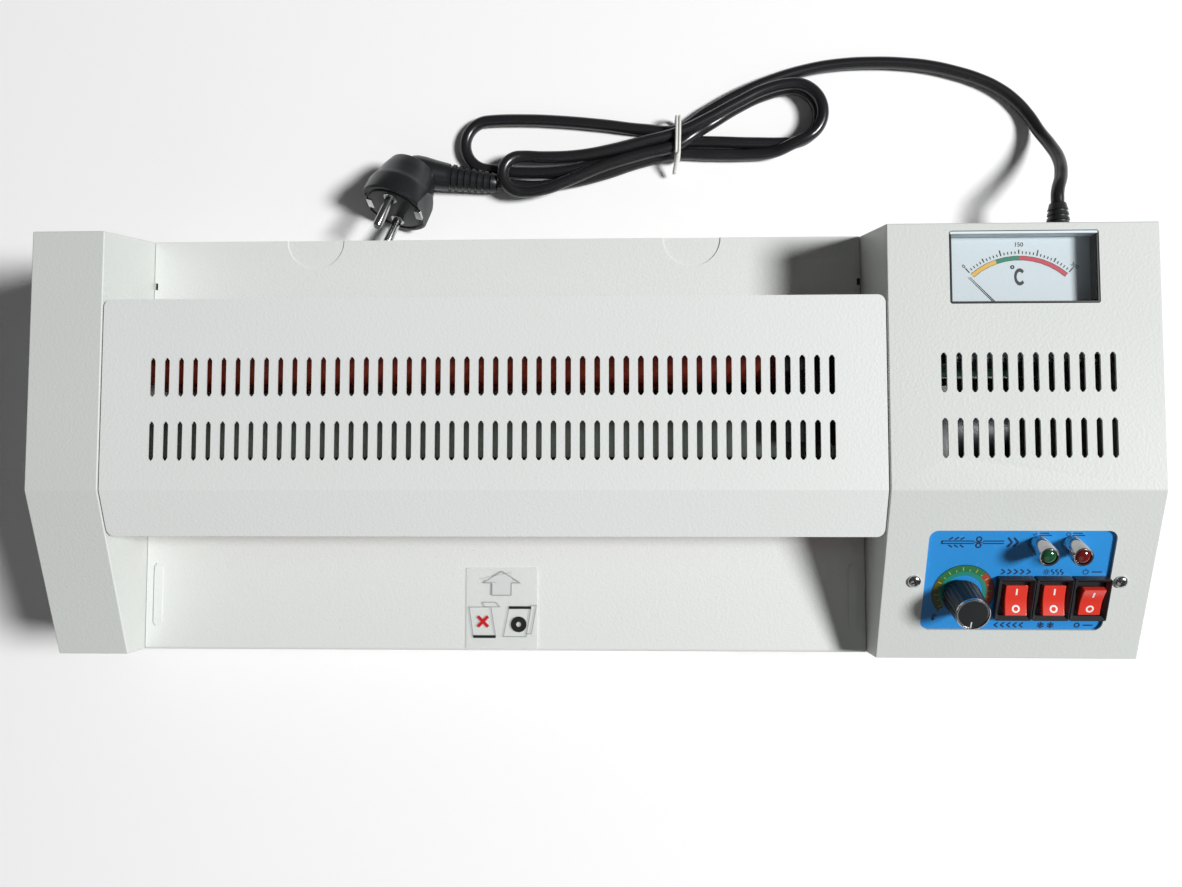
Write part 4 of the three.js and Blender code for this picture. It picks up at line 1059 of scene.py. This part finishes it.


# The clear cover, with an opaque rim round it whose black is painted shade: it stands for the dark gap that
# shows as the cover's black edge.
def makeMeterCover():
    s = meterSizes
    low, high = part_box("meter_window")
    centre = Matrix.Translation(((low.x + high.x) / 2, (low.y + high.y) / 2, 0))
    width, length = (high.x - low.x) / mm, (high.y - low.y) / mm
    bottom, top = low.z / mm, high.z / mm
    rimTall, rimMiddle = top - s["rimDrop"] - bottom, (top - s["rimDrop"] + bottom) / 2
    pane = bmesh.new()
    spare = 1.1 * s["wall"]
    addBlock(pane, (width - 2 * spare, length - 2 * spare, top - bottom), (0, 0, (top + bottom) / 2))
    roundEdges(pane, [edge for edge in pane.edges if rise(edge) > 1], 0.8, 4)
    window = placed("meterWindow", pane, centre, "case", finishes["clearAcrylic"],
                    bevel=s["edge"])
    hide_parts("meter_window")
    # The rim is opaque and shades the dial; its black colour is painted shade for the gap round the cover.
    rim = bmesh.new()
    addBlock(rim, (width, length, rimTall), (0, 0, rimMiddle))
    for sign in (1, -1):
        lid = [face for face in rim.faces if face.normal.z * sign > 0.9]
        bmesh.ops.inset_region(rim, faces=lid, thickness=s["wall"], depth=0)
    lids = [face for face in rim.faces
            if abs(face.normal.z) > 0.9 and face.calc_center_median().xy.length < 0.1]
    rings = [edge for face in lids for edge in face.edges]
    bmesh.ops.delete(rim, geom=lids, context="FACES_ONLY")
    bmesh.ops.bridge_loops(rim, edges=rings)
    cutAway(rim, (0, length / 2 - spare, 0), (0, 1, 0))
    bmesh.ops.recalc_face_normals(rim, faces=rim.faces)
    placed("meterGapShadeRim", rim, centre, "case", finishes["blackPlastic"], bevel=0.15)
    edge = bmesh.new()
    deep = spare - 0.1
    addBlock(edge, (width - 0.4, deep, rimTall), (0, (length - deep) / 2, rimMiddle))
    placed("meterClearEdge", edge, centre, "case", finishes["dialCard"], bevel=0.15)


makeMeter()
makeNeedle()
makeMeterCover()
print("meter made")

# ---- feet ----
footSizes = {"bore": 3.0, "recess": 2.6, "taper": 1.5}


def makeFoot(corner):
    node = "foot_" + corner
    low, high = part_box(node)
    height, wide = (high.z - low.z) / mm, (high.x - low.x) / 2 / mm
    narrow, bore, floor = wide - footSizes["taper"], footSizes["bore"], footSizes["recess"] - 0.6
    bm = turned([(bore, 0), (narrow - 0.8, 0), (narrow - 0.1, 0.35), (wide, height - 1.2),
                 (wide, height - 0.3), (wide - 0.3, height), (0, height), (0, floor), (bore, floor),
                 (bore, 0)], steps=48)
    place = Matrix.Translation(((low.x + high.x) / 2, (low.y + high.y) / 2, low.z))
    foot = placed("foot-" + corner.replace("_", "-"), bm, place, "case", finishes["rubber"])
    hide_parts(node)
    seat = Matrix.Translation((0, 0, (footSizes["recess"] - 0.9) * mm))
    down = place @ seat @ Matrix.Rotation(math.pi, 4, "X")
    makeScrew("footScrew-" + corner.replace("_", "-"), down, scale=0.8)


for corner in ("front_left", "front_right", "rear_left", "rear_right"):
    makeFoot(corner)
print("feet made")


# ---- gland, plug and tie ----
def reliefProfile(length, start, end, ribs, groove, lead=2.0):
    profile = [(0, 0), (start, 0)]
    pitch = (length - 2 * lead) / ribs
    for i in range(ribs):
        z = lead + i * pitch
        radius = start + (end - start) * z / length
        profile += [(radius, z), (radius - groove, z + 0.12 * pitch), (radius - groove, z + 0.38 * pitch),
                    (radius - 0.05, z + 0.5 * pitch)]
    return profile + [(end, length - lead), (end - 0.5, length), (0, length)]


def along(start, end):
    start, end = Vector(start), Vector(end)
    return Matrix.Translation(start * mm) @ (end - start).to_track_quat("Z", "Y").to_matrix().to_4x4()


glandSizes = {"flange": 8, "thick": 3, "gap": 0.3, "sleeve": (6.3, 4.5), "ribs": 5, "groove": 0.7}


def makeGland():
    s = glandSizes
    low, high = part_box("cord_gland")
    x, z = (low.x + high.x) / 2 / mm, (low.z + high.z) / 2 / mm
    r, thick = s["flange"], s["thick"]
    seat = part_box("right_housing")[1].y / mm + s["gap"]
    flange = turned([(0, 0), (r, 0), (r, thick - 0.8), (r - 0.6, thick), (0, thick)], steps=48)
    piece = placed("glandFlange", flange, along((x, seat, z), (x, seat + 1, z)), "case",
                   finishes["blackPlastic"])
    neck = seat + thick
    sleeve = turned(reliefProfile(high.y / mm - neck, *s["sleeve"], s["ribs"], s["groove"]), steps=40)
    placed("glandSleeve", sleeve, along((x, neck, z), (x, neck + 1, z)), "case",
           finishes["blackPlastic"])
    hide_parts("cord_gland")
    return piece


plugSizes = {"face": (-105.5, 126.9, 20.2), "out": (-0.3, -0.9, 0.312), "pinLine": (0, -0.327, -0.945),
             "elbow": (-96.5, 150.4, 10.6), "reliefStart": (-79.5, 148, 8.2), "reliefEnd": (-52.4, 144.8, 6),
             "radius": 18.8, "flat": 15.4, "ground": 0.3, "pinRadius": 2.4, "pinLength": 19, "pinGap": 19,
             "clip": (7.0, 0.7, 9.0), "clipHook": (7.0, 3.4, 0.5)}


# Local X runs across both pins, Y to the side, and Z out of the face.
def plugPlace():
    out = Vector(plugSizes["out"]).normalized()
    pinLine = Vector(plugSizes["pinLine"])
    side = pinLine.cross(out).normalized()
    acrossPins = side.cross(out).normalized()
    turn = Matrix((acrossPins, out.cross(acrossPins), out)).transposed().to_4x4()
    return Matrix.Translation(Vector(plugSizes["face"]) * mm) @ turn


def makePlug():
    s = plugSizes
    place = plugPlace()
    r = s["radius"]
    body = turned([(0, 0), (14.6, 0), (15.2, -0.9), (16.0, -0.9), (16.6, 0), (r - 0.8, 0), (r, -0.8),
                   (r - 0.5, -10), (r - 1.3, -12), (r - 2.4, -14.5), (15.2, -20), (12.8, -26.5), (9.5, -28.6),
                   (0, -29)], steps=64)
    for sign in (1, -1):
        cutAway(body, (0, sign * s["flat"], 0), (0, sign, 0.12))
    bmesh.ops.recalc_face_normals(body, faces=body.faces)
    body.transform(place @ scaleDown)
    cutAway(body, (0, 0, s["ground"] * mm), (0, 0, -1))
    plug = pieceFromBmesh("plugBody", body, "case", finishes["plugRubber"])
    addBevel(plug, 0.6 * mm, 3)
    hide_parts("plug_body")
    elbow, start, end = (Vector(s[key]) for key in ("elbow", "reliefStart", "reliefEnd"))
    reach = (start - elbow).length
    arm = turned([(0, -6), (5, -5), (8.3, -2), (8.9, 1), (8.8, 5), (8.0, 11), (7.4, reach), (0, reach)],
                 steps=40)
    pieces = [plug, placed("plugArm", arm, along(elbow, start), "case", finishes["plugRubber"])]
    relief = turned(reliefProfile((end - start).length, 7.3, 5.4, 7, 0.8, 1.5), steps=40)
    sleeve = placed("plugRelief", relief, along(start, end), "case", finishes["plugRubber"])
    pieces.append(sleeve)
    thick, long, nickel = s["pinRadius"], s["pinLength"], finishes["chrome"]
    for number, sign in ((1, -1), (2, 1)):
        pin = turned([(0, -4), (thick, -4), (thick, long - 1.6), (1.9, long - 0.5), (1.2, long), (0, long)],
                     steps=32)
        spot = place @ Matrix.Translation((sign * s["pinGap"] / 2 * mm, 0, 0))
        piece = placed("plugPin-" + str(number), pin, spot, "case", nickel)
        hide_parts("plug_pin_" + str(number))
        collar = turned([(2.5, -0.5), (3.7, -0.5), (3.7, 0.25), (3.3, 0.6), (2.5, 0.6), (2.5, -0.5)],
                        steps=32)
        pieces += [piece, placed("pinCollar-" + str(number), collar, spot, "case", nickel)]
        clip = bmesh.new()
        addBlock(clip, s["clip"], (0, sign * (s["flat"] - 0.2), -4.4))
        addBlock(clip, s["clipHook"], (0, sign * (s["flat"] - 1.6), 0.15))
        pieces.append(placed("earthClip-" + str(number), clip, place, "case", nickel,
                             bevel=0.2))
    return pieces


tieSizes = {"wire": 0.75, "inset": 0.8, "spacing": 0.85, "lean": 0.3, "twists": 4, "twist": (0.7, 0.6)}


def tieWire(name, points, radius, closed):
    holder = wireCurve(name, points, radius * mm, 4, 6, closed)
    bm = bmesh.new()
    bm.from_mesh(bpy.data.meshes.new_from_object(holder))
    bpy.data.objects.remove(holder)
    bmesh.ops.remove_doubles(bm, verts=bm.verts, dist=0.01 * mm)
    bmesh.ops.recalc_face_normals(bm, faces=bm.faces)
    return pieceFromBmesh(name, bm, "case", finishes["tieVinyl"], smoothAngle=60)


# A vinyl-covered wire goes twice round the bundle, and its ends are twisted together on top.
def makeTie():
    s = tieSizes
    low, high = (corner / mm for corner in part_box("cord_tie"))
    x, y, z = (low.x + high.x) / 2, (low.y + high.y) / 2, (low.z + high.z) / 2
    wide, tall = (high.y - low.y) / 2 - s["inset"], (high.z - low.z) / 2 - s["inset"]
    pieces = []
    for turn, offset in enumerate((-s["spacing"], s["spacing"])):
        points = []
        for i in range(16):
            angle = 2 * math.pi * i / 16
            across, up = math.cos(angle), math.sin(angle)
            stretch = 1 / (abs(across) ** 3 + abs(up) ** 3) ** (1 / 3)
            points.append((x + offset + s["lean"] * across, y + wide * stretch * across,
                           z + tall * stretch * up))
        pieces.append(tieWire("tieTurn-" + str(turn + 1), points, s["wire"], True))
    sideways, upward = s["twist"]
    for turn in (0, 1):
        points = []
        for i in range(4 * s["twists"] + 1):
            angle = math.pi / 2 * i + math.pi * turn
            points.append((x + sideways * math.cos(angle) - 0.1 * i, y - wide + 1.4 - 0.55 * i,
                           high.z - upward + upward * math.sin(angle) - 0.5 * i))
        pieces.append(tieWire("tieTwist-" + str(turn + 1), points, s["wire"] * 0.9, False))
    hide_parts("cord_tie")
    return pieces


gland = makeGland()
plugPieces = makePlug()
tiePieces = makeTie()
print("gland, plug and tie made")

# ---- floor and light ----
stageSizes = {"floor": 6.0, "fill": 0.06,
              "key": {"elevation": 48, "azimuth": -1, "distance": 4.4, "size": 1.1, "power": 245},
              "front": {"elevation": 35, "azimuth": -90, "distance": 3.0, "size": 2.4, "power": 5.5}}


def makeStage():
    bm = bmesh.new()
    bmesh.ops.create_grid(bm, x_segments=2, y_segments=2, size=stageSizes["floor"] / 2)
    mesh = bpy.data.meshes.new("floor")
    bm.to_mesh(mesh)
    bm.free()
    floor = bpy.data.objects.new("floor", mesh)
    bpy.context.scene.collection.objects.link(floor)
    material = bpy.data.materials.new("paleFloor")
    material.use_nodes = True
    shader = material.node_tree.nodes["Principled BSDF"]
    shader.inputs["Base Color"].default_value = (0.93, 0.93, 0.93, 1)
    shader.inputs["Roughness"].default_value = 0.9
    floor.data.materials.append(material)


def addLight(name, elevation, azimuth, distance, size, power):
    light = bpy.data.lights.new(name, "AREA")
    light.shape = "DISK"
    light.size = size
    light.energy = power
    holder = bpy.data.objects.new(name, light)
    e, a = math.radians(elevation), math.radians(azimuth)
    aim = Vector((math.cos(e) * math.cos(a), math.cos(e) * math.sin(a), math.sin(e)))
    holder.location = aim * distance
    holder.rotation_euler = aim.to_track_quat("Z", "Y").to_euler()
    bpy.context.scene.collection.objects.link(holder)


def lightStage():
    s = stageSizes
    for name in ("key", "front"):
        addLight(name + "Light", **s[name])
    world = bpy.data.worlds.new("studio")
    world.use_nodes = True
    world.node_tree.nodes["Background"].inputs["Color"].default_value = (1, 1, 1, 1)
    world.node_tree.nodes["Background"].inputs["Strength"].default_value = s["fill"]
    bpy.context.scene.world = world
    bpy.context.scene.view_settings.view_transform = "Standard"


makeStage()
lightStage()
print("stage lit")
